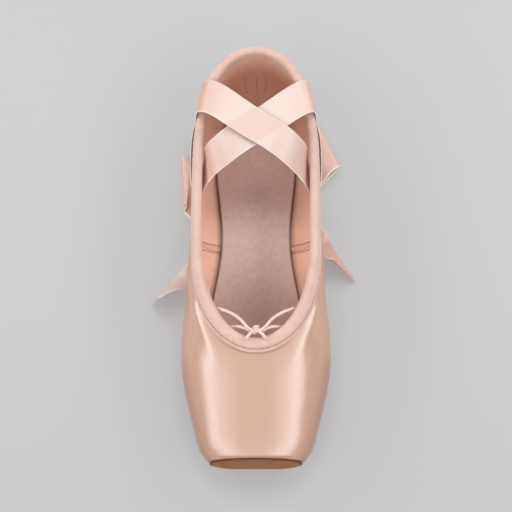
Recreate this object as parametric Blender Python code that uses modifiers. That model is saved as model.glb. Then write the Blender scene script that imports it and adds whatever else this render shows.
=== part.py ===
"""A pointe shoe with crossed ribbons, tied in a bow under its waist.

Metres, +Z up. The toe points to -Y and the heel to +Y. The origin is on the floor, under the middle of
the shoe. Every skin of the upper comes from one function of two numbers, station() along the shoe and
girth round a section, so that sole, insole, binding and ribbons follow the upper wherever it goes.
"""

import math

import bmesh
import bpy
import numpy as np

# Main sizes
SHOE_LENGTH = 0.240
BALL_WIDTH = 0.085
INSTEP_HEIGHT = 0.048  # crown of the vamp at the throat
HEEL_HEIGHT = 0.058  # collar edge at the back of the heel
WALL = 0.0018
GAP = 0.0003  # between pieces that meet

# Sole and insole
OUTSOLE_THICKNESS = 0.0025
OUTSOLE_INSET = 0.0015  # how far the outsole's edge stays inside the upper's bottom edge
OUTSOLE_SETBACK = 0.0120  # from the flat of the toe to the outsole's tip
INSOLE_THICKNESS = 0.0025
INSOLE_INSET = 0.0004
INSOLE_SETBACK = 0.0100
SOLE_TIP = 0.0240  # length of the round tip of sole and insole
TIP_STEP = 0.0010  # least length of the first strip behind that tip
TOE_SPRING = 0.0022
WAIST_LIFT = 0.0080
LASTING_MARGIN = 0.0070  # strip of the upper that turns under the insole
OPENING_SETBACK = 0.0170  # from either end of the upper to the opening in its bottom
OPENING_END = 0.0150  # length of that opening's round ends

# Toe and heel
PLATFORM_RIM = 0.0016  # radius round the edge of the flat toe
PATCH_THICKNESS = 0.0010
PATCH_COVER = 0.5  # share of the platform's rim that the patch covers
TOE_LEAN = 0.0008  # upper edge of the platform lies this far behind its lower edge
LEAN_FADE = 0.0250  # the toe stands upright again this far behind the platform
HEEL_TUCK = 0.0150  # bottom edge of the heel lies this far in front of the heel's widest line
COLLAR_LEAN = 0.0024  # the heel's collar edge lies this far in front of that line

# Throat and binding
THROAT_FRONT = 0.0632  # from the tip of the shoe to the front of the throat
THROAT_DEPTH = 0.0590  # length of the throat's round end
THROAT_POWER = 2.0  # 2 is an ellipse, less is more pointed
CROWN_EASE = 0.15  # share of the opened throat over which the vamp's crown starts to rise
BINDING_WIDTH = 0.0070
TAPE = 0.0010
BINDING_GAP = 0.00055
# Bends of the binding's fold: how far over the edge and how far aside, shares of half its thickness
FOLD_POINTS = ((0.42, 0.62), (0.60, 0.0), (0.42, -0.62))

# Ribbons and drawstring
RIBBON_WIDTH = 0.0190
RIBBON_THICKNESS = 0.0006
KNOT_DEPTH = 0.0140  # along the shoe
KNOT_HEIGHT = 0.0044
KNOT_ROUNDING = 0.3  # share of its height
KNOT_PLACE = 0.108  # share of the length, from the middle towards the heel
KNOT_STEP = 0.0006  # from the knot to the ribbons that it holds
CROSSING_GAP = 0.0027  # between the two ribbons where they cross
CROSSING_ROW = 5  # the bend at which they cross, rows counted from 0
CORD_DIAMETER = 0.0018

# Curves of a section: 2 is an ellipse, less is flatter between its ends
LOWER_POWER = 1.6
UPPER_POWER = 2.1

# One row for each section, from the flat of the toe to the back of the heel.
#   along    share of the length
#   width    half width at the widest line, share of the ball's width
#   widest   height of the widest line, share of the heel's height
#   board    half width of the flat bottom, share of the ball's width
#   collar   half width of the collar, share of the ball's width
#   instep   share of the instep's height in the section's top
#   heel     share of the heel's height in the section's top
SECTION_COLUMNS = ("along", "width", "widest", "board", "collar", "instep", "heel")
SECTIONS = (
    (0.000, 0.312, 0.290, 0.160, 0.390, 0.625, 0.000),
    (0.022, 0.357, 0.285, 0.190, 0.390, 0.665, 0.000),
    (0.070, 0.402, 0.280, 0.235, 0.390, 0.735, 0.000),
    (0.145, 0.458, 0.285, 0.300, 0.390, 0.845, 0.000),
    (0.248, 0.503, 0.300, 0.343, 0.390, 0.990, 0.000),
    (0.365, 0.480, 0.345, 0.328, 0.392, 0.960, 0.020),
    (0.530, 0.452, 0.385, 0.249, 0.397, 0.500, 0.365),
    (0.665, 0.434, 0.395, 0.268, 0.404, 0.200, 0.610),
    (0.810, 0.408, 0.405, 0.288, 0.385, 0.050, 0.810),
    (0.905, 0.347, 0.415, 0.228, 0.320, 0.000, 0.935),
    (0.960, 0.248, 0.420, 0.150, 0.222, 0.000, 0.985),
    (0.990, 0.125, 0.420, 0.070, 0.111, 0.000, 1.000),
    (1.000, 0.000, 0.420, 0.000, 0.000, 0.000, 1.000),
)
# One row for each bend of a ribbon.
#   across, along, height   middle of the ribbon, shares of the ball's width, the length and the heel's height
#   wide_x, wide_y, wide_z  direction across the ribbon
#   spread                  share of the ribbon's width, over 1 where a fold cuts across it
BEND_COLUMNS = ("across", "along", "height", "wide_x", "wide_y", "wide_z", "spread")
RIBBON_ROWS = (
    (0.368, 0.188, 0.534, 0.00, 1.00, 0.00, 1.00),
    (0.352, 0.193, 0.672, 0.00, 1.00, 0.00, 1.00),
    (0.317, 0.207, 0.810, 0.25, 0.97, 0.00, 1.00),
    (0.244, 0.225, 0.940, 0.40, 0.92, 0.00, 1.00),
    (0.161, 0.244, 1.012, 0.50, 0.86, 0.00, 1.00),
    (0.000, 0.281, 1.031, 0.54, 0.84, 0.00, 1.00),
    (-0.167, 0.322, 1.040, 0.50, 0.86, 0.00, 1.03),
    (-0.298, 0.355, 1.017, 0.35, 0.94, 0.00, 1.09),
    (-0.371, 0.367, 0.945, 0.20, 0.98, 0.00, 1.12),
    (-0.395, 0.358, 0.810, 0.15, 0.97, -0.20, 1.08),
    (-0.429, 0.325, 0.586, 0.10, 0.85, -0.50, 1.00),
    (-0.446, 0.275, 0.362, 0.10, 0.80, -0.60, 1.00),
    (-0.411, 0.215, 0.216, 0.30, 0.75, -0.50, 0.92),
    (-0.325, 0.166, 0.114, 0.55, 0.80, -0.40, 0.58),
    (-0.208, 0.130, 0.078, 0.50, 0.85, -0.18, 0.48),
    (-0.108, 0.118, 0.069, 0.00, 1.00, 0.00, 0.42),
)
LOOP_RIGHT_ROWS = (
    (0.108, 0.117, 0.028, 0.00, -1.00, 0.00, 0.42),
    (0.208, 0.127, 0.028, 0.40, -0.90, 0.00, 0.70),
    (0.325, 0.188, 0.028, 0.80, -0.60, 0.00, 0.50),
    (0.400, 0.260, 0.017, 0.66, -0.75, 0.00, 1.05),
    (0.462, 0.320, 0.021, 0.49, -0.87, 0.00, 1.75),
    (0.510, 0.350, 0.065, 0.42, -0.91, 0.02, 2.10),
    (0.468, 0.322, 0.112, 0.49, -0.87, 0.04, 1.75),
    (0.400, 0.260, 0.088, 0.66, -0.75, 0.05, 1.05),
    (0.325, 0.188, 0.062, 0.80, -0.60, 0.03, 0.50),
    (0.208, 0.127, 0.049, 0.40, -0.90, 0.00, 0.70),
    (0.108, 0.117, 0.048, 0.00, -1.00, 0.00, 0.42),
)
LOOP_LEFT_ROWS = (
    (-0.108, 0.117, 0.028, 0.00, -1.00, 0.00, 0.42),
    (-0.208, 0.127, 0.028, -0.40, -0.90, 0.00, 0.70),
    (-0.345, 0.158, 0.028, -0.60, -0.80, 0.00, 1.08),
    (-0.452, 0.202, 0.017, -0.35, -0.94, 0.00, 1.38),
    (-0.506, 0.233, 0.021, 0.05, -1.00, 0.00, 1.68),
    (-0.526, 0.242, 0.060, 0.06, -1.00, 0.00, 1.74),
    (-0.502, 0.231, 0.100, 0.05, -1.00, 0.03, 1.68),
    (-0.452, 0.202, 0.086, -0.35, -0.94, 0.06, 1.38),
    (-0.345, 0.158, 0.060, -0.60, -0.80, 0.05, 1.08),
    (-0.208, 0.127, 0.049, -0.40, -0.90, 0.00, 0.70),
    (-0.108, 0.117, 0.048, 0.00, -1.00, 0.00, 0.42),
)
TAIL_RIGHT_ROWS = (
    (0.108, 0.099, 0.010, 0.00, 1.00, 0.00, 0.42),
    (0.232, 0.102, 0.010, 0.10, 1.00, 0.00, 0.70),
    (0.345, 0.094, 0.012, 0.45, 0.87, -0.01, 1.00),
    (0.435, 0.065, 0.083, 0.72, 0.55, -0.42, 1.00),
    (0.524, 0.023, 0.145, 0.59, 0.25, -0.77, 1.00),
    (0.612, -0.014, 0.167, 0.61, -0.40, -0.68, 1.25),
)
TAIL_LEFT_ROWS = (
    (-0.108, 0.099, 0.010, 0.00, 1.00, 0.00, 0.42),
    (-0.232, 0.067, 0.010, -0.35, 0.90, 0.00, 0.70),
    (-0.369, 0.008, 0.038, -0.66, 0.64, -0.15, 1.00),
    (-0.464, -0.033, 0.093, -0.63, 0.61, -0.45, 1.00),
    (-0.577, -0.060, 0.159, -0.36, 0.34, -0.87, 1.00),
    (-0.692, -0.092, 0.172, -0.30, 0.10, -0.93, 1.00),
)

# Middle lines of the drawstring on its right side, in metres
CORD_END = (
    (0.0056, -0.0572, 0.0505),
    (0.0048, -0.0560, 0.0512),
    (0.0036, -0.0545, 0.0511),
    (0.0026, -0.0534, 0.0506),
)
CORD_LOOP = (
    (0.0027, -0.0516, 0.0503),
    (0.0080, -0.0462, 0.0497),
    (0.0140, -0.0414, 0.0482),
    (0.0190, -0.0386, 0.0459),
    (0.0222, -0.0378, 0.0430),
    (0.0228, -0.0408, 0.0408),
    (0.0195, -0.0452, 0.0412),
    (0.0150, -0.0480, 0.0431),
    (0.0108, -0.0484, 0.0456),
    (0.0064, -0.0500, 0.0480),
    (0.0029, -0.0524, 0.0494),
)
CORD_KNOT = (0.0000, -0.0523, 0.0501)

FLAT_TREAD = (-0.080, -0.045)  # where the outsole lies on the floor under the ball
FLAT_HEEL = (0.070, 0.105)
TOE_END = -SHOE_LENGTH / 2 + PATCH_THICKNESS + GAP
HEEL_END = SHOE_LENGTH / 2
THROAT_Y = THROAT_FRONT - SHOE_LENGTH / 2

COLOURS = {
    "satin": ((0.73, 0.50, 0.40), 0.35),
    "binding": ((0.80, 0.58, 0.48), 0.45),
    "ribbon": ((0.84, 0.66, 0.58), 0.35),
    "suede": ((0.38, 0.20, 0.12), 0.90),
    "insole": ((0.53, 0.36, 0.29), 0.90),
    "leather": ((0.48, 0.31, 0.22), 0.70),
    "cord": ((0.72, 0.48, 0.41), 0.60),
}


def cubic(knots, values):
    """A natural cubic spline through values at knots, as a function of where along the knots."""
    step = np.diff(knots)[:, None]
    slope = np.diff(values, axis=0) / step
    count = len(knots)
    system = np.eye(count)
    right = np.zeros_like(values)
    for i in range(1, count - 1):
        system[i, i - 1 : i + 2] = step[i - 1, 0], 2 * (step[i - 1, 0] + step[i, 0]), step[i, 0]
        right[i] = 6 * (slope[i] - slope[i - 1])
    bend = np.linalg.solve(system, right)

    def at(where):
        where = np.asarray(where, float)
        i = np.clip(np.searchsorted(knots, where) - 1, 0, count - 2)
        h = step[i]
        a = (knots[i + 1] - where)[..., None]
        b = (where - knots[i])[..., None]
        curved = (bend[i] * a**3 + bend[i + 1] * b**3) / (6 * h)
        return curved + (values[i] / h - bend[i] * h / 6) * a + (values[i + 1] / h - bend[i + 1] * h / 6) * b

    return at


def chord_knots(points):
    return np.concatenate([[0.0], np.cumsum(np.linalg.norm(np.diff(points, axis=0), axis=1))])


def smooth(t):
    t = np.clip(t, 0.0, 1.0)
    return t * t * (3 - 2 * t)


def ground(y):
    """Height of the outsole's underside: sprung at the toe, flat, arched at the waist, flat."""
    toe = np.clip((FLAT_TREAD[0] - y) / (FLAT_TREAD[0] + SHOE_LENGTH / 2), 0.0, 1.5)
    top = 0.45 * FLAT_TREAD[1] + 0.55 * FLAT_HEEL[0]
    rise = smooth((y - FLAT_TREAD[1]) / (top - FLAT_TREAD[1]))
    fall = smooth((FLAT_HEEL[0] - y) / (FLAT_HEEL[0] - top))
    return TOE_SPRING * toe**2 + WAIST_LIFT * np.minimum(rise, fall)


def section_table():
    """The sections in metres, with the rows past the heel's back mirrored so the outline closes round."""
    rows = np.array(SECTIONS)
    y = TOE_END + rows[:, 0] * (HEEL_END - TOE_END)
    width, board, collar = (rows[:, [1, 3, 4]] * BALL_WIDTH).T
    widest = rows[:, 2] * HEEL_HEIGHT
    top = rows[:, 5] * INSTEP_HEIGHT + rows[:, 6] * HEEL_HEIGHT
    near = np.stack([y, width, widest, board, collar, top], axis=1)
    far = near[-2:0:-1] * (1, -1, 1, -1, -1, 1)
    return chord_knots(near[:, :2])[-1], np.concatenate([near, far])


OUTLINE_LENGTH, TABLE = section_table()
TABLE_AT = cubic(chord_knots(TABLE[:, :2]), TABLE)


def rounded(distance, length, power):
    """A share that grows from 0 to 1 over a length, as the quarter of a rounded oval does."""
    t = np.clip(distance / length, 0.0, 1.0)
    return (1 - (1 - t) ** power) ** (1 / power)


def sizes_at(station):
    """Every size of the section at a station, 0 at the flat of the toe and 1 at the back of the heel."""
    row = TABLE_AT(np.minimum(station, 1 - 1e-5) * OUTLINE_LENGTH)
    y, width, widest, board, collar, top = np.moveaxis(row, -1, 0)
    into_rim = np.clip(1 - (y - TOE_END) / PLATFORM_RIM, 0.0, 1.0)
    rim = PLATFORM_RIM * (1 - np.sqrt(1 - into_rim**2))
    width = width - rim
    top = top - rim
    opened = rounded(y - THROAT_Y, THROAT_DEPTH, THROAT_POWER)
    eased = opened**2 * np.sqrt((1 + CROWN_EASE) / (opened**2 + CROWN_EASE))
    ratio = np.clip(collar * opened / width, 0.0, 0.999)
    crown_ratio = np.clip(collar * eased / width, 0.0, 0.999)
    return dict(
        y=y,
        width=width,
        widest=widest,
        board=board - rim,
        bottom=ground(y) + OUTSOLE_THICKNESS + GAP + rim,
        top=top,
        crown=widest + (top - widest) / (1 - crown_ratio**UPPER_POWER) ** (1 / UPPER_POWER),
        ratio=ratio,
    )


def collar_girth(station):
    """The girth at which the section meets the collar, or its crown where the vamp is closed."""
    return np.arccos(sizes_at(station)["ratio"] ** (UPPER_POWER / 2)) * 2 / math.pi


def last(station, girth):
    """Outer skin of the upper on its right side.

    girth is -2 at the middle of the bottom, -1 at the bottom's edge, 0 at the widest line and 1 at the
    crown. The bottom is flat. Two quarters of a rounded oval follow, one up to the widest line and one
    over to the crown. The heel is tucked in below its widest line and leans forward above it.
    """
    station, girth = np.broadcast_arrays(np.asarray(station, float), np.asarray(girth, float))
    size = sizes_at(station)
    low = np.clip(girth + 1, 0.0, 1.0) * math.pi / 2
    high = np.clip(girth, 0.0, 1.0) * math.pi / 2
    out = np.sin(low) ** (2 / LOWER_POWER)
    rise = 1 - np.maximum(np.cos(low), 0) ** (2 / LOWER_POWER)
    up = np.sin(high) ** (2 / UPPER_POWER)
    x_low = size["board"] * np.clip(girth + 2, 0.0, 1.0) + (size["width"] - size["board"]) * out
    x = np.where(girth <= 0, x_low, size["width"] * np.maximum(np.cos(high), 0) ** (2 / UPPER_POWER))
    z = size["bottom"] + (size["widest"] - size["bottom"]) * rise + (size["crown"] - size["widest"]) * up
    toe = 1 - smooth((size["y"] - TOE_END) / LEAN_FADE)
    heel = np.clip((size["y"] - FLAT_HEEL[0]) / (HEEL_END - FLAT_HEEL[0]), 0.0, 1.0) ** 2
    y = size["y"] + TOE_LEAN * toe * (z - size["bottom"]) / (size["top"] - size["bottom"])
    above = np.clip((z - size["widest"]) / (size["top"] - size["widest"]), 0.0, 1.3)
    y = y - heel * (HEEL_TUCK * (1 - out) + COLLAR_LEAN * above**1.2)
    return np.stack([x * (station < 1), y, z], axis=-1)


def across(station, girth):
    """Unit vectors that point out of the skin."""
    little = 1e-4
    before, after = np.maximum(station - little, 0.0), np.minimum(station + little, 1.0)
    under, over = np.maximum(girth - little, -1.999), np.minimum(girth + little, 1.0)
    along = last(after, girth) - last(before, girth)
    normal = np.cross(along, last(station, over) - last(station, under))
    size = np.linalg.norm(normal, axis=-1, keepdims=True)
    return np.where(size > 1e-12, normal / np.maximum(size, 1e-12), (0.0, 0.0, -1.0))


DENSE = np.linspace(0.0, 1.0, 4001)
DENSE_Y = sizes_at(DENSE)["y"]


def station_at(y):
    return np.interp(y, DENSE_Y, DENSE)


def run(start, end, count, ease=1.0):
    """Stations between two, the end left out; an ease above 1 crowds them at the start."""
    return start + (end - start) * (np.arange(count) / count) ** ease


def collar_stations():
    """Stations along the collar, crowded where the throat is round."""
    front, side, quarter = station_at(np.array([THROAT_Y, THROAT_Y + THROAT_DEPTH, FLAT_HEEL[0]]))
    return np.concatenate([run(front, side, 10, 2), run(side, quarter, 7), run(quarter, 1.0, 10), [1.0]])


COLLAR_STATIONS = collar_stations()


def opening_half(station):
    """Half width of the opening in the upper's bottom, which sole and insole close."""
    size = sizes_at(station)
    front = rounded(size["y"] - TOE_END - OPENING_SETBACK, OPENING_END, 2)
    back = rounded(HEEL_END - OPENING_SETBACK - size["y"], OPENING_END, 2)
    return np.maximum(size["board"] - LASTING_MARGIN, 0.0) * front * back


def upper_stations():
    rim, opening, tread, throat = station_at(np.array([
        TOE_END + PLATFORM_RIM,
        TOE_END + OPENING_SETBACK,
        FLAT_TREAD[0],
        THROAT_Y,
    ]))
    front = [run(0.0, rim, 3, 2), run(rim, opening, 3), run(opening, tread, 4, 2), run(tread, throat, 3)]
    return np.concatenate(front + [COLLAR_STATIONS])


def material(name):
    colour, roughness = COLOURS[name]
    made = bpy.data.materials.get(name)
    if made is None:
        made = bpy.data.materials.new(name)
        made.use_nodes = True
        shader = made.node_tree.nodes["Principled BSDF"]
        shader.inputs["Base Color"].default_value = (*colour, 1.0)
        shader.inputs["Roughness"].default_value = roughness
    return made


def add_object(name, mesh, finish):
    mesh.materials.append(material(finish))
    mesh.shade_smooth()
    mesh.set_sharp_from_angle(angle=math.radians(40))
    made = bpy.data.objects.new(name, mesh)
    PARTS.objects.link(made)
    return made


def sheet(name, finish, grid, ring=False, cap=None, flip=False):
    """A loft through a grid of points; ring closes its second direction, cap fills its first row."""
    rows, columns = grid.shape[:2]
    index = np.arange(rows * columns).reshape(rows, columns)
    if ring:
        index = np.concatenate([index, index[:, :1]], axis=1)
    faces = np.stack([index[:-1, :-1], index[:-1, 1:], index[1:, 1:], index[1:, :-1]], axis=-1)
    faces = faces.reshape(-1, 4).tolist()
    if cap is not None:
        faces += [index[0].tolist()[::-1]]
    mesh = bpy.data.meshes.new(name)
    mesh.from_pydata(grid.reshape(-1, 3).tolist(), [], faces)
    shape = bmesh.new()
    shape.from_mesh(mesh)
    bmesh.ops.remove_doubles(shape, verts=shape.verts, dist=2e-6)
    if flip:
        bmesh.ops.reverse_faces(shape, faces=shape.faces)
    shape.to_mesh(mesh)
    shape.free()
    return add_object(name, mesh, finish)


def mirrored(piece):
    mirror = piece.modifiers.new("both sides", "MIRROR")
    mirror.use_axis[0] = True
    mirror.merge_threshold = 0.00001
    return piece


def thickened(piece, thickness, offset):
    wall = piece.modifiers.new("wall", "SOLIDIFY")
    wall.thickness = thickness
    wall.offset = offset
    return piece


def build_upper():
    """One shell: flat toe, vamp, quarters and the margin turned under, open at the collar and below."""
    stations = upper_stations()[:, None]
    size = sizes_at(stations)
    edge = -2 + opening_half(stations) / np.maximum(size["board"], 1e-9)
    bottom = edge + (-1 - edge) * np.linspace(0, 1, 3)[:-1]
    side = -1 + np.linspace(0, 1, 5)[:-1] * np.ones_like(stations)
    over = collar_girth(stations) * np.linspace(0, 1, 8)
    girth = np.concatenate([bottom, side, over], axis=1)
    piece = sheet("upper", "satin", last(stations, girth), cap=True, flip=True)
    return thickened(mirrored(piece), WALL, -1)


def sole_grid(inset, front, back, lift, columns):
    """Half of a sole's underside, its outline the upper's bottom edge drawn in by inset."""
    stations = upper_stations()
    stations = np.concatenate([[station_at(front)], stations[sizes_at(stations)["y"] > front + TIP_STEP]])
    edge = last(stations, -1.0)
    y = np.minimum(edge[:, 1], back)
    y[0] = front
    tip = rounded(y - front, SOLE_TIP, 2)
    heel = rounded(back - y, inset + GAP, 2)
    half = np.maximum(edge[:, 0] - inset, 0.0) * tip * heel
    x = half[:, None] * np.linspace(0, 1, columns)
    y = np.broadcast_to(y[:, None], x.shape)
    return np.stack([x, y, ground(y) + lift], axis=-1)


def build_outsole():
    back = last(1.0, -1.0)[1] - OUTSOLE_INSET
    grid = sole_grid(OUTSOLE_INSET, TOE_END + OUTSOLE_SETBACK, back, 0.0, 3)
    piece = sheet("outsole", "leather", grid)
    return thickened(mirrored(piece), OUTSOLE_THICKNESS, 1)


def build_insole():
    back = last(1.0, -1.0)[1] - WALL - GAP
    lift = OUTSOLE_THICKNESS + WALL + 2 * GAP
    grid = sole_grid(INSOLE_INSET, TOE_END + INSOLE_SETBACK, back, lift, 3)
    piece = sheet("insole", "insole", grid)
    return thickened(mirrored(piece), INSOLE_THICKNESS, 1)


def build_toe_patch():
    """An oval of suede in front of the platform, out to the round of its rim."""
    girth = np.concatenate([np.linspace(-2, -1, 3)[:-1], np.linspace(-1, 0, 6)[:-1], np.linspace(0, 1, 9)])
    rim = last(0.0, girth)
    middle = np.array([0.0, 0.0, (rim[0, 2] + rim[-1, 2]) / 2])
    grow = 1 + PATCH_COVER * PLATFORM_RIM / rim[:, 0].max()
    outline = rim.copy()
    outline[:, [0, 2]] = middle[[0, 2]] + (rim[:, [0, 2]] - middle[[0, 2]]) * grow
    slant = (rim[0, 1] - rim[-1, 1]) / (rim[0, 2] - rim[-1, 2])
    outline[:, 1] = rim[0, 1] + slant * (outline[:, 2] - rim[0, 2]) - GAP * 1.05
    mesh = bpy.data.meshes.new("toe_patch")
    mesh.from_pydata(outline.tolist(), [], [list(range(len(outline)))])
    piece = add_object("toe_patch", mesh, "suede")
    return thickened(mirrored(piece), PATCH_THICKNESS, 1)


def sampled_skin():
    station, girth = np.meshgrid(np.linspace(0, 1, 201), np.linspace(-1, 1, 121), indexing="ij")
    return last(station, girth).reshape(-1, 3), across(station, girth).reshape(-1, 3)


SKIN, SKIN_OUT = sampled_skin()


def height_over_skin(points):
    """For each point its distance outside the upper's skin, and the skin's direction there."""
    flat = np.reshape(points, (-1, 3))
    side = np.where(flat[:, 0] < 0, -1.0, 1.0)
    folded = flat * np.stack([side, np.ones_like(side), np.ones_like(side)], axis=1)
    nearest = np.array([np.argmin(((SKIN - point) ** 2).sum(axis=1)) for point in folded])
    out = SKIN_OUT[nearest]
    height = ((folded - SKIN[nearest]) * out).sum(axis=1)
    out = out * np.stack([side, np.ones_like(side), np.ones_like(side)], axis=1)
    return height.reshape(points.shape[:-1]), out.reshape(points.shape)


def laid_on(points, height):
    """The points moved straight off the skin, or on to it, until they lie at a height over it."""
    now, out = height_over_skin(points)
    return points + out * (height - now)[..., None]


def kept_over(points, height):
    """The points lifted off the skin where they would lie nearer to it than a height."""
    now, out = height_over_skin(points)
    return points + out * np.maximum(height - now, 0.0)[..., None]


def collar_frame(stations):
    """The collar's edge on the skin, the skin's outward direction, and the way down the skin from it."""
    girth = collar_girth(stations)
    edge = last(stations, girth)
    edge[0, 0] = edge[-1, 0] = 0.0
    out = across(np.clip(stations, 0.0, 1 - 2e-4), girth)
    out[[0, -1], 0] = 0.0
    out /= np.linalg.norm(out, axis=1, keepdims=True)
    whole = np.concatenate([(edge * (-1, 1, 1))[1:2], edge, (edge * (-1, 1, 1))[-2:-1]])
    way = whole[2:] - whole[:-2]
    down = np.cross(way, out)
    down /= np.linalg.norm(down, axis=1, keepdims=True)
    down *= np.where(down[:, 2:] > 0, -1, 1)
    return edge, out, down


def build_binding():
    """A folded band round the collar's edge: down the outside, over the edge and down the lining."""
    edge, out, down = collar_frame(COLLAR_STATIONS)
    outer, inner = BINDING_GAP + TAPE, -WALL - BINDING_GAP - TAPE
    middle = (outer + inner) / 2
    fold = (outer - inner) / 2
    profile = [(BINDING_WIDTH * share, outer) for share in (1.0, 0.55, 0.1)]
    profile += [(-fold * bulge, middle + fold * side) for bulge, side in FOLD_POINTS]
    profile += [(BINDING_WIDTH * share, inner) for share in (0.1, 0.55, 1.0)]
    profile += [(BINDING_WIDTH * share, inner + TAPE) for share in (1.0, 0.55, 0.1)]
    profile += [(-BINDING_GAP, inner + TAPE), (-BINDING_GAP, outer - TAPE)]
    profile += [(BINDING_WIDTH * share, outer - TAPE) for share in (0.1, 0.55, 1.0)]
    columns = []
    for reach, height in profile:
        points = edge + down * reach
        if reach > 0:
            points = laid_on(points, height)
        else:
            points = points + out * height
        points[[0, -1], 0] = 0.0
        columns.append(points)
    return mirrored(sheet("collar_binding", "binding", np.stack(columns, axis=1), ring=True, flip=True))


def ribbon_grid(rows, steps, columns):
    """Points over a ribbon: a smooth path through its rows, crossed by straight lines."""
    rows = np.array(rows)
    centres = rows[:, :3] * (BALL_WIDTH, SHOE_LENGTH, HEEL_HEIGHT)
    wide = rows[:, 3:6] / np.linalg.norm(rows[:, 3:6], axis=1, keepdims=True)
    knots = chord_knots(centres)
    where = np.interp(np.linspace(0, len(rows) - 1, (len(rows) - 1) * steps + 1), np.arange(len(rows)), knots)
    at = cubic(knots, np.concatenate([centres, wide, rows[:, 6:]], axis=1))(where)
    half = at[:, 3:6] / np.linalg.norm(at[:, 3:6], axis=1, keepdims=True) * at[:, 6:] * RIBBON_WIDTH / 2
    return at[:, None, :3] + half[:, None] * np.linspace(-1, 1, columns)[:, None]


def ribbon(name, points):
    return thickened(sheet(name, "ribbon", points), RIBBON_THICKNESS, 0)


def build_ribbons():
    """Two ribbons sewn inside the quarters, over the opposite collar edge and down outside to the knot."""
    clear = RIBBON_THICKNESS / 2 + 2 * GAP
    steps = 3
    over = ribbon_grid(RIBBON_ROWS, steps, 4)
    under = over * (-1, 1, 1)
    rows_away = np.abs(np.arange(len(over)) / steps - CROSSING_ROW)
    under[..., 2] -= CROSSING_GAP * smooth(2 - 2 * rows_away / 3)[:, None]
    outside = (CROSSING_ROW + 3) * steps
    for name, points in (("ribbon_over", over), ("ribbon_under", under)):
        points[outside:] = kept_over(points[outside:], clear)
        beside = slice(outside, outside + steps + 1)
        points[beside] = kept_over(points[beside], BINDING_GAP + TAPE + clear)
        ribbon(name, points)


def build_bow():
    clear = RIBBON_THICKNESS / 2 + 2 * GAP
    loops = (("bow_loop_left", LOOP_LEFT_ROWS), ("bow_loop_right", LOOP_RIGHT_ROWS))
    tails = (("bow_tail_left", TAIL_LEFT_ROWS), ("bow_tail_right", TAIL_RIGHT_ROWS))
    for name, rows in loops + tails:
        points = kept_over(ribbon_grid(rows, 3, 4), clear)
        points[..., 2] = np.maximum(points[..., 2], RIBBON_THICKNESS / 2 + GAP)
        ribbon(name, points)
    mesh = bpy.data.meshes.new("bow_knot")
    shape = bmesh.new()
    bmesh.ops.create_cube(shape, size=1.0)
    half = abs(RIBBON_ROWS[-1][0]) * BALL_WIDTH - KNOT_STEP
    bmesh.ops.scale(shape, vec=(2 * half, KNOT_DEPTH, KNOT_HEIGHT), verts=shape.verts)
    middle = (0.0, KNOT_PLACE * SHOE_LENGTH, GAP + KNOT_HEIGHT / 2)
    bmesh.ops.translate(shape, vec=middle, verts=shape.verts)
    shape.to_mesh(mesh)
    shape.free()
    edges = add_object("bow_knot", mesh, "ribbon").modifiers.new("rounded", "BEVEL")
    edges.width = KNOT_HEIGHT * KNOT_ROUNDING
    edges.segments = 2


def cord(name, route):
    """A round cord along a smooth curve through the points of its route."""
    route = np.array(route)
    knots = chord_knots(route)
    count = max(4, round(knots[-1] / (1.6 * CORD_DIAMETER)))
    points = cubic(knots, route)(np.linspace(0, knots[-1], count + 1))
    curve = bpy.data.curves.new(name, "CURVE")
    curve.dimensions = "3D"
    curve.bevel_depth = CORD_DIAMETER / 2
    curve.bevel_resolution = 2
    curve.use_fill_caps = True
    line = curve.splines.new("POLY")
    line.points.add(len(points) - 1)
    line.points.foreach_set("co", np.column_stack([points, np.ones(len(points))]).ravel())
    curve.materials.append(material("cord"))
    PARTS.objects.link(bpy.data.objects.new(name, curve))


def build_drawstring():
    """The cord that gathers the casing: two ends out of it, a knot, and two loops tucked under the edge."""
    for side, name in ((1, "right"), (-1, "left")):
        cord("drawstring_end_" + name, np.array(CORD_END) * (side, 1, 1))
        cord("drawstring_loop_" + name, np.array(CORD_LOOP) * (side, 1, 1))
    mesh = bpy.data.meshes.new("drawstring_knot")
    shape = bmesh.new()
    bmesh.ops.create_uvsphere(shape, u_segments=12, v_segments=8, radius=CORD_DIAMETER)
    bmesh.ops.scale(shape, vec=(1.1, 0.95, 1.0), verts=shape.verts)
    bmesh.ops.translate(shape, vec=CORD_KNOT, verts=shape.verts)
    shape.to_mesh(mesh)
    shape.free()
    add_object("drawstring_knot", mesh, "cord")


def main():
    build_upper()
    build_outsole()
    build_insole()
    build_toe_patch()
    build_binding()
    build_ribbons()
    build_bow()
    build_drawstring()


for old in list(bpy.data.objects):
    bpy.data.objects.remove(old)
PARTS = bpy.data.collections.new("pointe shoe")
bpy.context.scene.collection.children.link(PARTS)
main()
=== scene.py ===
# %% [markdown]
# # A satin pointe shoe
#
# A pointe shoe is a narrow tube of satin pulled over a stiff toe block, with a casing round its collar, a
# leather sole, and two ribbons that tie it on. This notebook dresses a plain engineering model of one.
# Each new piece is a surface worked out with numpy, in metres, in the model's own frame: the toe points to
# -Y, the heel to +Y, and the floor is at z = 0.

# %% The frame
import math

import bmesh
import bpy
import numpy as np
from mathutils import Matrix


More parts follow.
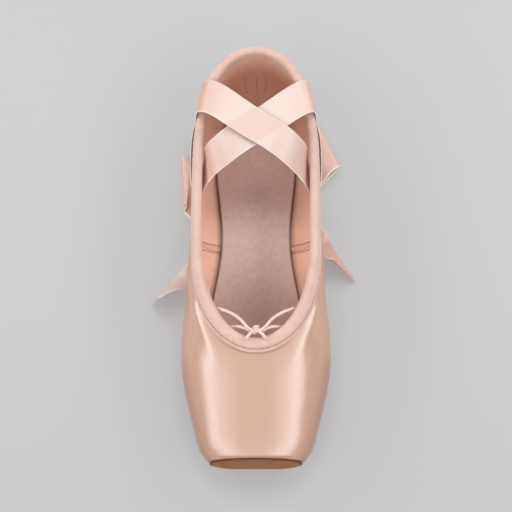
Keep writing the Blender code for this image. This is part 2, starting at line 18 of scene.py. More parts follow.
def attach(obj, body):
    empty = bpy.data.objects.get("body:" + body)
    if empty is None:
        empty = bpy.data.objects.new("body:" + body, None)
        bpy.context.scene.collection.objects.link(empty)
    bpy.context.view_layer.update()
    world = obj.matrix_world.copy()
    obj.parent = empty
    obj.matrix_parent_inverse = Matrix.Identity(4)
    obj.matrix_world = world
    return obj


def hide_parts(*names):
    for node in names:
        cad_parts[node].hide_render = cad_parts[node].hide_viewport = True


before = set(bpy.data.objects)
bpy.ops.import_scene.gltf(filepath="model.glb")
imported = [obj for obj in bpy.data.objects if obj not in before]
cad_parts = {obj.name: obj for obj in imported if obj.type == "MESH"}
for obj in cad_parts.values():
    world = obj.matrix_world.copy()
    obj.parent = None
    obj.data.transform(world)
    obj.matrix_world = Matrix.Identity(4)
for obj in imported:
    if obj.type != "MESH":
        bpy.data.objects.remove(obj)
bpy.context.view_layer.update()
MM = 0.001

# %% [markdown]
# ## Camera
#
# The photograph looks down on the shoe from in front of its toe, at 70 degrees over the floor. A long lens
# keeps toe and heel at nearly the same scale. The camera comes first, because every later choice is judged
# through it.

# %% Camera
CAMERA_ELEVATION = math.radians(70.0)
CAMERA_DISTANCE = 0.750
CAMERA_TARGET = np.array([0.0, 0.0004, 0.025])
SENSOR_MM = 36.0
LENS_MM = 91.2

camera = bpy.data.objects.new("camera", bpy.data.cameras.new("camera"))
camera.data.sensor_width = SENSOR_MM
camera.data.lens = LENS_MM
towards_camera = np.array([0.0, -math.cos(CAMERA_ELEVATION), math.sin(CAMERA_ELEVATION)])
camera.location = CAMERA_TARGET + CAMERA_DISTANCE * towards_camera
camera.rotation_euler = (math.pi / 2 - CAMERA_ELEVATION, 0, 0)
bpy.context.scene.collection.objects.link(camera)
bpy.context.scene.camera = camera
bpy.context.scene.view_settings.view_transform = "Standard"

# %% [markdown]
# ## Smooth lines and meshes from grids
#
# Everything below rests on two ideas. A natural cubic spline turns a short table into a smooth line, and a
# grid of points, rows by columns, turns into a mesh of four-sided faces. The grid keeps its own map of how far
# each point lies along and across the cloth, so that a weave can follow it.

# %% Splines
def cubic(knots, values):
    """Natural cubic spline: between two knots a cubic whose second slope is linear, and is 0 at both ends."""
    step = np.diff(knots)
    slope = np.diff(values, axis=0) / step[:, None]
    bend = np.zeros_like(values)
    rows = np.diag(2 * (step[:-1] + step[1:])) + np.diag(step[1:-1], 1) + np.diag(step[1:-1], -1)
    bend[1:-1] = np.linalg.solve(rows, 6 * np.diff(slope, axis=0))

    def at(where):
        where = np.asarray(where, float)
        i = np.clip(np.searchsorted(knots, where) - 1, 0, len(step) - 1)
        h = step[i][..., None]
        a = (knots[i + 1] - where)[..., None]
        b = (where - knots[i])[..., None]
        curved = (bend[i] * a**3 + bend[i + 1] * b**3) / (6 * h)
        return curved + (values[i] / h - bend[i] * h / 6) * a + (values[i + 1] / h - bend[i + 1] * h / 6) * b

    return at


def chord_knots(points):
    """Distance along a row of points."""
    return np.concatenate([[0.0], np.cumsum(np.linalg.norm(np.diff(points, axis=0), axis=1))])


def smooth(t):
    """0 up to 0, 1 from 1, and 3t^2 - 2t^3 between."""
    t = np.clip(t, 0.0, 1.0)
    return t * t * (3 - 2 * t)


def bell(t):
    """A soft hump: 1 at 0, and e^(-t^2) to either side."""
    return np.exp(-(t**2))


def unit(vectors):
    return vectors / np.maximum(np.linalg.norm(vectors, axis=-1, keepdims=True), 1e-12)


# %% Meshes
WELD = 2e-6  # points nearer than this are one point


def lengths(grid):
    """How far each point lies along its column and along its row, in metres: the cloth's own map."""
    down = np.linalg.norm(np.diff(grid, axis=0), axis=-1).mean(axis=1)
    over = np.linalg.norm(np.diff(grid, axis=1), axis=-1)
    u = np.concatenate([[0.0], np.cumsum(down)])[:, None] * np.ones(grid.shape[1])
    v = np.concatenate([np.zeros((len(grid), 1)), np.cumsum(over, axis=1)], axis=1)
    return np.stack([u, v], axis=-1)


def patch(grid, uv=None, flip=False, **paint):
    """A grid of points with its cloth map, which way it faces, and any shades painted on its points."""
    return {"grid": grid, "uv": lengths(grid) if uv is None else uv, "flip": flip, "paint": paint}


def quads(rows, columns, flip):
    """The faces between neighbouring points of a grid."""
    index = np.arange(rows * columns).reshape(rows, columns)
    faces = np.stack([index[:-1, :-1], index[:-1, 1:], index[1:, 1:], index[1:, :-1]], axis=-1).reshape(-1, 4)
    return faces[:, ::-1] if flip else faces


def make(name, patches, material, replaces=(), wall=0.0, offset=-1.0, levels=0):
    """One object from one or more patches, merged where they meet, with a wall and smoothing if asked."""
    counts = [part["grid"][..., 0].size for part in patches]
    starts = np.cumsum([0, *counts[:-1]])
    faces = [quads(*part["grid"].shape[:2], part["flip"]) + start for part, start in zip(patches, starts)]
    faces = np.concatenate(faces)
    mesh = bpy.data.meshes.new(name)
    mesh.from_pydata(np.concatenate([part["grid"].reshape(-1, 3) for part in patches]).tolist(), [], faces.tolist())
    uv = np.concatenate([part["uv"].reshape(-1, 2) for part in patches])
    mesh.uv_layers.new(name="cloth").data.foreach_set("uv", uv[faces.ravel()].astype(np.float32).ravel())
    for shade in sorted({key for part in patches for key in part["paint"]}):
        values = [np.broadcast_to(part["paint"].get(shade, 0.0), part["grid"].shape[:2]).ravel() for part in patches]
        layer = mesh.attributes.new(shade, "FLOAT", "POINT")
        layer.data.foreach_set("value", np.concatenate(values).astype(np.float32))
    shape = bmesh.new()
    shape.from_mesh(mesh)
    bmesh.ops.remove_doubles(shape, verts=shape.verts, dist=WELD)
    bmesh.ops.dissolve_degenerate(shape, edges=shape.edges, dist=WELD / 10)
    shape.to_mesh(mesh)
    shape.free()
    return dressed(name, mesh, material, replaces, wall, offset, levels)


def dressed(name, mesh, material, replaces=(), wall=0.0, offset=-1.0, levels=0):
    """Puts a finished mesh in the scene, on the shoe's one body, with its material and what it stands for."""
    mesh.materials.append(material)
    mesh.shade_smooth()
    piece = bpy.data.objects.new(name, mesh)
    bpy.context.scene.collection.objects.link(piece)
    if wall:
        modifier = piece.modifiers.new("wall", "SOLIDIFY")
        modifier.thickness = wall
        modifier.offset = offset
    if levels:
        modifier = piece.modifiers.new("rounded", "SUBSURF")
        modifier.levels = modifier.render_levels = levels
    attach(piece, "root")
    if replaces:
        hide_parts(*replaces)
    print(f"{name}: {len(mesh.polygons)} faces")
    return piece

# %% [markdown]
# ## Colours and nodes
#
# Colours are picked from the photograph as sRGB hex values, and one function turns them to the linear
# values that a shader adds up. Materials are built in code from small steps, so one function adds a node, sets
# it and links it. Plain numbers that hold all over a surface go straight on the shader's own sockets.

# %% Colours and nodes
def linear(code):
    """An sRGB hex colour as linear red, green, blue and alpha."""
    values = np.array([int(code[i : i + 2], 16) for i in (1, 3, 5)]) / 255
    return (*np.where(values <= 0.04045, values / 12.92, ((values + 0.055) / 1.055) ** 2.4).tolist(), 1.0)


def node(tree, kind, settings=None, links=None):
    """Adds a node, sets its properties, and fills its inputs with values or with other nodes' sockets."""
    made = tree.nodes.new(kind)
    for key, value in (settings or {}).items():
        setattr(made, key, value)
    for key, value in (links or {}).items():
        if isinstance(value, bpy.types.NodeSocket):
            tree.links.new(value, made.inputs[key])
        else:
            made.inputs[key].default_value = value
    return made


def cloth_finish(name, **sockets):
    """An empty material and its Principled shader, with plain numbers set on the shader's own sockets."""
    material = bpy.data.materials.new(name)
    material.use_nodes = True
    tree = material.node_tree
    shader = tree.nodes["Principled BSDF"]
    for key, value in sockets.items():
        shader.inputs[key.replace("_", " ")].default_value = value
    return material, tree, shader

# %% [markdown]
# ## Satin
#
# Satin is woven with long threads on its face, so it shines along them and goes dull across them. The shoe's
# satin is a polyester or silk blend dyed a warm peach. It has three things that flat colour lacks: a highlight
# that is stretched along the shoe, which the anisotropic socket gives, a soft bloom at grazing angles, which
# is sheen, and a slightly uneven weave, which is noise drawn out along the threads. The shine is white and
# strong, so the colours below are darker than the shoe looks. Real threads lie 0.1 mm
# apart. They are drawn 0.5 mm apart here, so that they show at all.

# %% Satin
THREAD = 0.5 * MM
SLUB_LENGTH = 14 * MM
PAINTED_RIBBON_SHADE = "#d6a693"  # painted shade on the ribbons, pinker: inside the shoe, over the collar, over the other ribbon and on the bow
# painted highlight along the ribbons' woven edges
SELVEDGE_HIGHLIGHT = "#fff3ea"


def weave(tree, spacing):
    """Height of a woven face: fine ribs along the cloth's length, and slubs that run with them."""
    where = node(tree, "ShaderNodeUVMap", {"uv_map": "cloth"}).outputs["UV"]
    ribs = node(tree, "ShaderNodeTexWave", {"bands_direction": "Y"}, {
        "Vector": where,
        "Scale": math.pi / 10 / spacing,
        "Distortion": 1.2,
        "Detail": 1.0,
    })
    drawn = node(tree, "ShaderNodeMapping", None, {"Vector": where, "Scale": (1.0, 9.0, 1.0)})
    slubs = node(tree, "ShaderNodeTexNoise", None, {
        "Vector": drawn.outputs["Vector"],
        "Scale": 1 / SLUB_LENGTH,
        "Detail": 4.0,
        "Roughness": 0.6,
    })
    return ribs.outputs["Fac"], slubs.outputs["Fac"]


def satin(name, body, shade, roughness, bump, ior, shine=0.08, dark="#8c5440"):
    """Dyed satin: two close tones mixed by its slubs, darker where seams and shade are painted, pinker where shade is
    painted on ribbons, whiter where a highlight is painted on their edges, ribs as bump.
    """
    material, tree, shader = cloth_finish(
        name, Roughness=roughness, Anisotropic=0.75, Sheen_Weight=shine, Sheen_Roughness=0.45,
        Specular_IOR_Level=1.0, IOR=ior,
    )
    ribs, slubs = weave(tree, THREAD)
    tone = node(tree, "ShaderNodeMix", {"data_type": "RGBA"}, {0: slubs, 6: linear(body), 7: linear(shade)})
    crease = node(tree, "ShaderNodeAttribute", {"attribute_name": "crease"}).outputs["Fac"]
    folded = node(tree, "ShaderNodeMix", {"data_type": "RGBA"}, {0: crease, 6: tone.outputs[2], 7: linear(dark)})
    # Painted on ribbons: shade that makes them pinker, and a highlight along their edges.
    for attribute, colour in (("doubled", PAINTED_RIBBON_SHADE), ("edge", SELVEDGE_HIGHLIGHT)):
        painted = node(tree, "ShaderNodeAttribute", {"attribute_name": attribute}).outputs["Fac"]
        folded = node(tree, "ShaderNodeMix", {"data_type": "RGBA"}, {
            0: painted,
            6: folded.outputs[2],
            7: linear(colour),
        })
    height = node(tree, "ShaderNodeMath", {"operation": "MULTIPLY_ADD"}, {0: slubs, 1: 0.8, 2: ribs})
    raised = node(tree, "ShaderNodeBump", None, {
        "Strength": bump,
        "Distance": 0.06 * MM,
        "Height": height.outputs["Value"],
    })
    tangent = node(tree, "ShaderNodeTangent", {"direction_type": "UV_MAP", "uv_map": "cloth"})
    tree.links.new(folded.outputs[2], shader.inputs["Base Color"])
    tree.links.new(raised.outputs["Normal"], shader.inputs["Normal"])
    tree.links.new(tangent.outputs["Tangent"], shader.inputs["Tangent"])
    return material


SHOE_SATIN = satin("peach shoe satin", "#d2a78d", "#ca9b80", 0.37, 0.07, 1.8, shine=0.03)
RIBBON_SATIN = satin("pale ribbon satin", "#dfc8bb", "#d9beb0", 0.36, 0.06, 1.6, dark="#e7a996")
print("satins:", SHOE_SATIN.name, RIBBON_SATIN.name)

# %% [markdown]
# ## Cotton, suede, leather and thread
#
# The casing is a soft cotton tape cut on the bias, and the lining a plain cotton drill. Both are matte, with a
# woven tooth. The sock over the insole and the oval on the toe are suede, whose short nap scatters light, so
# they get high roughness, a mottled tone where the nap lies two ways, and a fine crumbly bump. The outsole is
# smooth leather with its grain side out.

# %% Cottons, suedes and leather
def mottled(name, low, high, patch_size, nap, bump, dark="#5a3222", cloth=False, **sockets):
    """A matte stuff: two tones mixed by a cloudy noise, darker where seams and shade are painted, its nap as bump."""
    material, tree, shader = cloth_finish(name, **sockets)
    where = node(tree, "ShaderNodeTexCoord").outputs["Object"]
    clouds = node(tree, "ShaderNodeTexNoise", None, {
        "Vector": where,
        "Scale": 1 / patch_size,
        "Detail": 5.0,
        "Roughness": 0.62,
    })
    spread = node(tree, "ShaderNodeMapRange", None, {"Value": clouds.outputs["Fac"], "From Min": 0.35, "From Max": 0.65})
    tone = node(tree, "ShaderNodeMix", {"data_type": "RGBA"}, {
        0: spread.outputs["Result"],
        6: linear(low),
        7: linear(high),
    })
    crease = node(tree, "ShaderNodeAttribute", {"attribute_name": "crease"}).outputs["Fac"]
    folded = node(tree, "ShaderNodeMix", {"data_type": "RGBA"}, {0: crease, 6: tone.outputs[2], 7: linear(dark)})
    if cloth:
        height = weave(tree, nap)[0]
    else:
        fine = node(tree, "ShaderNodeTexNoise", None, {"Vector": where, "Scale": 1 / nap, "Detail": 3.0})
        height = fine.outputs["Fac"]
    raised = node(tree, "ShaderNodeBump", None, {"Strength": bump, "Distance": 0.1 * MM, "Height": height})
    tree.links.new(folded.outputs[2], shader.inputs["Base Color"])
    tree.links.new(raised.outputs["Normal"], shader.inputs["Normal"])
    return material


COTTON_TAPE = mottled(
    "pink cotton tape", "#d9b3a2", "#dfbdae", 8 * MM, 0.45 * MM, 0.3, "#a8705c", cloth=True,
    Roughness=0.75, Sheen_Weight=0.35, Sheen_Roughness=0.5, Specular_IOR_Level=0.3,
)
LINING_COTTON = mottled(
    "peach lining cotton", "#efbfa5", "#f4c9b0", 18 * MM, 0.5 * MM, 0.35, "#8a4a34", cloth=True,
    Roughness=0.85, Sheen_Weight=0.2, Specular_IOR_Level=0.25,
)
SOCK_SUEDE = mottled(
    "mauve sock suede", "#ceb0a5", "#d8bdb2", 3 * MM, 0.7 * MM, 0.5, "#6d4030",
    Roughness=0.95, Sheen_Weight=0.3, Sheen_Roughness=0.6, Specular_IOR_Level=0.15,
)
TOE_SUEDE = mottled(
    "tan toe suede", "#985f3c", "#a86c45", 5 * MM, 0.5 * MM, 0.6, "#6b3a28",
    Roughness=0.95, Sheen_Weight=0.1, Specular_IOR_Level=0.15,
)
SOLE_LEATHER = mottled(
    "tan sole leather", "#b98f6c", "#c59c78", 12 * MM, 0.8 * MM, 0.25, "#6a452f",
    Roughness=0.5, Specular_IOR_Level=0.4,
)
CORD_RAYON = mottled(
    "pink rayon cord", "#ecc6ba", "#f2d2c7", 3 * MM, 0.4 * MM, 0.2, "#a8705c",
    Roughness=0.5, Sheen_Weight=0.3, Specular_IOR_Level=0.4,
)
THREAD_PINK = mottled("pink sewing thread", "#e3b3a2", "#ecc0b0", 2 * MM, 0.3 * MM, 0.1, Roughness=0.6)
# Dark balls for the needle holes are painted shade; the same colour is dark thread in the other seams.
HOLE_SHADE_AND_DARK_THREAD = mottled("needle hole shade and dark thread", "#8f5646", "#9c6353", 2 * MM, 0.3 * MM, 0.1, Roughness=0.9)

# %% [markdown]
# ## The drawstring
#
# A thin cord runs in the casing all the way round the throat. It comes out at the front, is knotted there, and
# its two ends are pushed back in beside the insole, so that they show as two loops. Cords are settled before
# anything else, because their length is a fact of the object. Each half is one cord here: out of the casing on
# one side, through the knot, out in a loop on the other side and back to the knot. A circle is carried along
# that smooth line, and its radius swells and shrinks a little as three twisted strands would make it do.

# %% The drawstring's route
CORD_DIAMETER = 1.8 * MM
CORD_LAY = 6 * MM  # one turn of the cord's three strands
CORD_KNOT = np.array([0.0000, -0.0523, 0.0501])

# Right end, from the casing to the knot, and right loop, out of the knot and back. The left is their mirror.
CORD_END = np.array([
    (0.0056, -0.0572, 0.0505),
    (0.0048, -0.0560, 0.0512),
    (0.0036, -0.0545, 0.0511),
    (0.0026, -0.0534, 0.0506),
])
CORD_LOOP = np.array([
    (0.0027, -0.0516, 0.0503),
    (0.0080, -0.0462, 0.0497),
    (0.0140, -0.0414, 0.0482),
    (0.0190, -0.0386, 0.0459),
    (0.0222, -0.0378, 0.0430),
    (0.0228, -0.0408, 0.0408),
    (0.0195, -0.0452, 0.0412),
    (0.0150, -0.0480, 0.0431),
    (0.0108, -0.0484, 0.0456),
    (0.0064, -0.0500, 0.0480),
    (0.0029, -0.0524, 0.0494),
])


def evenly(route, step):
    """Points a step apart on the smooth line through a route, and the line's length."""
    knots = chord_knots(route)
    line = cubic(knots, route)
    fine = line(np.linspace(0, knots[-1], 600))
    travelled = chord_knots(fine)
    count = round(travelled[-1] / step) + 1
    where = np.interp(np.linspace(0, travelled[-1], count), travelled, np.linspace(0, knots[-1], 600))
    return line(where), travelled[-1]


def tube(points, radius, sides=14, strands=3, lay=CORD_LAY, depth=0.10, ends=True):
    """A circle carried along a line, r * (1 - depth + depth * |cos(strands / 2 * (angle + turn))|), where the
    turn grows by a whole circle in each lay. Both ends are drawn in to a point."""
    way = unit(np.gradient(points, axis=0))
    side = unit(np.cross(way, (0.0, 0.0, 1.0)))
    up = np.cross(side, way)
    at = chord_knots(points)[:, None]
    angle = np.linspace(0, 2 * math.pi, sides + 1)[None, :]
    swell = 1 - depth + depth * np.abs(np.cos(strands / 2 * (angle + 2 * math.pi * at / lay)))
    if ends:
        near_end = np.minimum(at, at[-1] - at) / radius
        swell = swell * np.sqrt(1 - (1 - np.clip(near_end, 0, 1)) ** 2)
    ring = np.cos(angle)[..., None] * side[:, None] + np.sin(angle)[..., None] * up[:, None]
    return points[:, None] + radius * swell[..., None] * ring


# %% The drawstring and its knot
MIRROR = np.array([-1.0, 1.0, 1.0])
KNOT_TURNS = 3
KNOT_REACH = 1.25 * MM  # from the knot's middle line to the middle of the cord wrapped round it
KNOT_LENGTH = 4.2 * MM
knot_share = np.linspace(-1, 1, 121)
knot_turn = KNOT_TURNS * math.pi * knot_share
knot_line = CORD_KNOT + np.stack([
    KNOT_REACH * np.sin(knot_turn),
    KNOT_LENGTH / 2 * knot_share + 0.8 * MM,
    KNOT_REACH * np.cos(knot_turn),
], axis=-1)
cord_knot = make("cord_knot", [patch(tube(knot_line, 0.40 * CORD_DIAMETER))], CORD_RAYON,
                 ["drawstring_knot"])

for side, (here, there) in ((1, ("right", "left")), (-1, ("left", "right"))):
    route = np.concatenate([CORD_END * (side, 1, 1), [CORD_KNOT], CORD_LOOP * (-side, 1, 1)])
    points, length = evenly(route, 0.5 * MM)
    name = "cord_from_" + here
    half = make(name, [patch(tube(points, CORD_DIAMETER / 2))], CORD_RAYON,
                ["drawstring_end_" + here, "drawstring_loop_" + there])
    print(name, round(length / MM, 1), "mm")

# %% [markdown]
# ## The last
#
# A shoemaker pulls the upper over a last. Ours is a function of two numbers: a station, 0 at the flat of the
# toe and 1 at the back of the heel, and a girth round the section there, -2 at the middle of the bottom, -1 at
# its edge, 0 at the widest line and 1 at the crown. The sizes are those of the model, so that every surface
# made from it lies where the model's own pieces lie.

# %% Sizes of the last
SHOE_LENGTH = 240.0 * MM
BALL_WIDTH = 85.0 * MM
INSTEP_HEIGHT = 48.0 * MM
HEEL_HEIGHT = 58.0 * MM
WALL = 1.8 * MM
GAP = 0.3 * MM
OUTSOLE_THICKNESS = 2.5 * MM
OUTSOLE_INSET = 1.5 * MM
OUTSOLE_SETBACK = 12.0 * MM
INSOLE_THICKNESS = 2.5 * MM
INSOLE_SETBACK = 10.0 * MM
SOLE_TIP = 24.0 * MM
TOE_SPRING = 2.2 * MM
WAIST_LIFT = 8.0 * MM
LASTING_MARGIN = 7.0 * MM
OPENING_SETBACK = 17.0 * MM
OPENING_END = 15.0 * MM
PLATFORM_RIM = 1.6 * MM
PATCH_THICKNESS = 1.0 * MM
TOE_LEAN = 0.8 * MM
LEAN_FADE = 25.0 * MM
HEEL_TUCK = 15.0 * MM
COLLAR_LEAN = 2.4 * MM
THROAT_FRONT = 63.2 * MM
THROAT_DEPTH = 59.0 * MM
CROWN_EASE = 0.15
LOWER_POWER = 1.6
UPPER_POWER = 2.1
FLAT_TREAD = (-80.0 * MM, -45.0 * MM)
FLAT_HEEL = (70.0 * MM, 105.0 * MM)
TOE_END = PATCH_THICKNESS + GAP - SHOE_LENGTH / 2
HEEL_END = SHOE_LENGTH / 2
THROAT_Y = THROAT_FRONT - SHOE_LENGTH / 2

# One row for each section. Along is a share of the length, widest and heel of the heel's height, instep of the
# instep's height, and the half widths width, board and collar of the ball's width.
#    along, width, widest, board, collar, instep, heel
SECTIONS = np.array([
    (0.000, 0.312, 0.290, 0.160, 0.390, 0.625, 0.000),
    (0.022, 0.357, 0.285, 0.190, 0.390, 0.665, 0.000),
    (0.070, 0.402, 0.280, 0.235, 0.390, 0.735, 0.000),
    (0.145, 0.458, 0.285, 0.300, 0.390, 0.845, 0.000),
    (0.248, 0.503, 0.300, 0.343, 0.390, 0.990, 0.000),
    (0.365, 0.480, 0.345, 0.328, 0.392, 0.960, 0.020),
    (0.530, 0.452, 0.385, 0.249, 0.397, 0.500, 0.365),
    (0.665, 0.434, 0.395, 0.268, 0.404, 0.200, 0.610),
    (0.810, 0.408, 0.405, 0.288, 0.385, 0.050, 0.810),
    (0.905, 0.347, 0.415, 0.228, 0.320, 0.000, 0.935),
    (0.960, 0.248, 0.420, 0.150, 0.222, 0.000, 0.985),
    (0.990, 0.125, 0.420, 0.070, 0.111, 0.000, 1.000),
    (1.000, 0.000, 0.420, 0.000, 0.000, 0.000, 1.000),
])


# %% The last as a function
def ground(y):
    """Height of the sole's underside: sprung at the toe, flat, arched at the waist, and flat at the heel."""
    toe = np.clip((FLAT_TREAD[0] - y) / (FLAT_TREAD[0] + SHOE_LENGTH / 2), 0.0, 1.5)
    top = 0.45 * FLAT_TREAD[1] + 0.55 * FLAT_HEEL[0]
    rise = smooth((y - FLAT_TREAD[1]) / (top - FLAT_TREAD[1]))
    fall = smooth((FLAT_HEEL[0] - y) / (FLAT_HEEL[0] - top))
    return TOE_SPRING * toe**2 + WAIST_LIFT * np.minimum(rise, fall)


def section_table():
    """The sections in metres, mirrored past the heel so that the outline closes round."""
    y = TOE_END + SECTIONS[:, 0] * (HEEL_END - TOE_END)
    width, board, collar = (SECTIONS[:, [1, 3, 4]] * BALL_WIDTH).T
    top = SECTIONS[:, 5] * INSTEP_HEIGHT + SECTIONS[:, 6] * HEEL_HEIGHT
    near = np.stack([y, width, SECTIONS[:, 2] * HEEL_HEIGHT, board, collar, top], axis=1)
    far = near[-2:0:-1] * (1, -1, 1, -1, -1, 1)
    return chord_knots(near[:, :2])[-1], np.concatenate([near, far])


OUTLINE_LENGTH, TABLE = section_table()
TABLE_AT = cubic(chord_knots(TABLE[:, :2]), TABLE)


def rounded(distance, length, power):
    """Grows from 0 to 1 over a length, as the quarter of a rounded oval does."""
    t = np.clip(distance / length, 0.0, 1.0)
    return (1 - (1 - t) ** power) ** (1 / power)


def sizes_at(station):
    """Every size of the section at a station."""
    row = TABLE_AT(np.minimum(station, 1 - 1e-5) * OUTLINE_LENGTH)
    y, width, widest, board, collar, top = np.moveaxis(row, -1, 0)
    into_rim = np.clip(1 - (y - TOE_END) / PLATFORM_RIM, 0.0, 1.0)
    rim = PLATFORM_RIM * (1 - np.sqrt(1 - into_rim**2))
    width, top = width - rim, top - rim
    bottom = ground(y) + OUTSOLE_THICKNESS + GAP + rim
    opened = rounded(y - THROAT_Y, THROAT_DEPTH, 2)
    eased = opened**2 * np.sqrt((1 + CROWN_EASE) / (opened**2 + CROWN_EASE))
    ratio, crown_ratio = (np.clip(collar * share / width, 0.0, 0.999) for share in (opened, eased))
    crown = widest + (top - widest) / (1 - crown_ratio**UPPER_POWER) ** (1 / UPPER_POWER)
    return dict(y=y, width=width, widest=widest, board=board - rim, bottom=bottom, crown=crown, top=top, ratio=ratio)


def collar_girth(station):
    """The girth at which a section meets the collar, or its crown where the vamp is closed."""
    return np.arccos(sizes_at(station)["ratio"] ** (UPPER_POWER / 2)) * 2 / math.pi


def last(station, girth):
    """The upper's outer skin on its right: a flat bottom, and two quarters of a rounded oval, up to the widest
    line and over to the crown. The heel is tucked in below that line and leans forward above it."""
    station, girth = np.broadcast_arrays(np.asarray(station, float), np.asarray(girth, float))
    size = sizes_at(station)
    low = np.clip(girth + 1, 0.0, 1.0) * math.pi / 2
    high = np.clip(girth, 0.0, 1.0) * math.pi / 2
    out = np.sin(low) ** (2 / LOWER_POWER)
    rise = 1 - np.maximum(np.cos(low), 0) ** (2 / LOWER_POWER)
    up = np.sin(high) ** (2 / UPPER_POWER)
    x_low = size["board"] * np.clip(girth + 2, 0.0, 1.0) + (size["width"] - size["board"]) * out
    x = np.where(girth <= 0, x_low, size["width"] * np.maximum(np.cos(high), 0) ** (2 / UPPER_POWER))
    z = size["bottom"] + (size["widest"] - size["bottom"]) * rise + (size["crown"] - size["widest"]) * up
    toe = 1 - smooth((size["y"] - TOE_END) / LEAN_FADE)
    heel = np.clip((size["y"] - FLAT_HEEL[0]) / (HEEL_END - FLAT_HEEL[0]), 0.0, 1.0) ** 2
    y = size["y"] + TOE_LEAN * toe * (z - size["bottom"]) / (size["top"] - size["bottom"])
    above = np.clip((z - size["widest"]) / (size["top"] - size["widest"]), 0.0, 1.3)
    y = y - heel * (HEEL_TUCK * (1 - out) + COLLAR_LEAN * above**1.2)
    return np.stack([x * (station < 1), y, z], axis=-1)


LITTLE = 1e-4


def slopes(station, girth):
    """How the skin's points move with station and with girth."""
    before, after = np.maximum(station - LITTLE, 0.0), np.minimum(station + LITTLE, 1.0)
    under, over = np.maximum(girth - LITTLE, -1.999), np.minimum(girth + LITTLE, 1.0)
    along = (last(after, girth) - last(before, girth)) / (after - before)[..., None]
    return along, (last(station, over) - last(station, under)) / (over - under)[..., None]


def outward(station, girth):
    """Unit vectors that point out of the skin: the cross product of its two slopes."""
    station, girth = np.broadcast_arrays(np.asarray(station, float), np.asarray(girth, float))
    return unit(np.cross(*slopes(np.clip(station, 2e-4, 1 - 2e-4), girth)))


DENSE = np.linspace(0.0, 1.0, 4001)
DENSE_Y = sizes_at(DENSE)["y"]


def station_at(y):
    return np.interp(y, DENSE_Y, DENSE)


def run(start, end, count, ease=1.0):
    """Stations from one to another, the end left out. An ease above 1 crowds them at the start."""
    return start + (end - start) * (np.arange(count) / count) ** ease


# %% Points on and off the skin
COARSE = np.stack(np.meshgrid(np.linspace(0, 1, 121), np.linspace(-1, 1, 61), indexing="ij"), axis=-1).reshape(-1, 2)
COARSE_POINTS = last(COARSE[:, 0], COARSE[:, 1])


def foot_on_skin(points):
    """Height of each point over the skin, and the skin's outward direction under it. It starts from the
    nearest of a coarse set of skin points, and slides along the skin's slopes till the rest stands square."""
    flat = np.reshape(points, (-1, 3))
    side = np.where(flat[:, :1] < 0, [-1.0, 1.0, 1.0], [1.0, 1.0, 1.0])
    folded = flat * side
    square = (COARSE_POINTS**2).sum(axis=1)
    nearest = np.concatenate([np.argmin(square - 2 * some @ COARSE_POINTS.T, axis=1) for some in
                              np.array_split(folded, len(folded) // 2000 + 1)])
    station, girth = COARSE[nearest].T
    for _ in range(5):
        along, around = slopes(station, girth)
        rest = folded - last(station, girth)
        aa, bb, ab = (along**2).sum(1), (around**2).sum(1), (along * around).sum(1)
        ra, rb = (rest * along).sum(1), (rest * around).sum(1)
        spread = np.maximum(aa * bb - ab**2, 1e-12)
        station = np.clip(station + np.clip((ra * bb - rb * ab) / spread, -0.02, 0.02), 0.0, 1.0)
        girth = np.clip(girth + np.clip((rb * aa - ra * ab) / spread, -0.05, 0.05), -1.0, 1.0)
    out = outward(station, girth)
    height = ((folded - last(station, girth)) * out).sum(axis=1)
    return height.reshape(points.shape[:-1]), (out * side).reshape(points.shape)


def laid_on(points, height):
    """The points moved square to the skin, to lie at a height over it."""
    now, out = foot_on_skin(points)
    return points + out * (height - now)[..., None]


def kept_over(points, height):
    """The points lifted off the skin where they would lie nearer to it than a height."""
    now, out = foot_on_skin(points)
    return points + out * np.maximum(height - now, 0.0)[..., None]

# %% [markdown]
# ## The satin upper
#
# The upper is cut flat, stitched at the heel and sides, and stretched over the last while its margin is pulled
# under and glued. So its surface is the last's own, with a few things that pulling leaves: a soft hollow where
# the throat's corners strain, faint drag lines along the wings, and a ridge at each seam. The crown of the grid
# ends at the collar, the bottom ends at the opening that the sole closes, and both halves meet on the middle
# line. Folds are a table of soft ridges and troughs, each placed by where it lies on the last.

# %% Folds of the satin
# One row for each fold. Side is 1 right, -1 left and 0 both, along a share of the length and girth as in last().
# Long and wide are half sizes in mm, turn is in degrees from the shoe's length towards the crown, and height is
# in mm, negative for a trough.
#    side, along, girth, long, wide, turn, height
FOLDS = np.array([
    (0, 0.345, 0.39, 20, 5.0, -30, 1.45),
    (0, 0.350, 0.15, 14, 6.5, -12, -0.95),
    (0, 0.300, 0.72, 14, 4.0, -45, -0.35),
    (0, 0.430, 0.10, 24, 5.0, 8, 0.45),
    (0, 0.500, -0.15, 30, 6.0, 6, -0.60),
    (1, 0.560, 0.20, 26, 4.0, -8, 0.35),
    (-1, 0.600, 0.05, 24, 4.0, 10, 0.40),
    (1, 0.660, -0.20, 20, 4.0, 12, -0.40),
    (-1, 0.690, -0.25, 20, 4.5, -6, -0.40),
    (0, 0.800, -0.30, 16, 5.0, 25, 0.35),
    (1, 0.200, -0.05, 30, 8.0, 4, -0.30),
    (-1, 0.215, -0.05, 30, 8.0, 2, -0.35),
])
SEAM_AT = 0.545  # the side seam, share of the length
SEAM_LEAN = 0.030  # how far its top leans back, share of the length
SEAM_ZONE = 5.5 * MM  # to either side of it, where the grid is finer
PLEAT_PITCH = 3.4 * MM
PLEAT_HEIGHT = 0.45 * MM


def share_at(along):
    """Station of a share of the shoe's length."""
    return station_at(TOE_END + along * (HEEL_END - TOE_END))


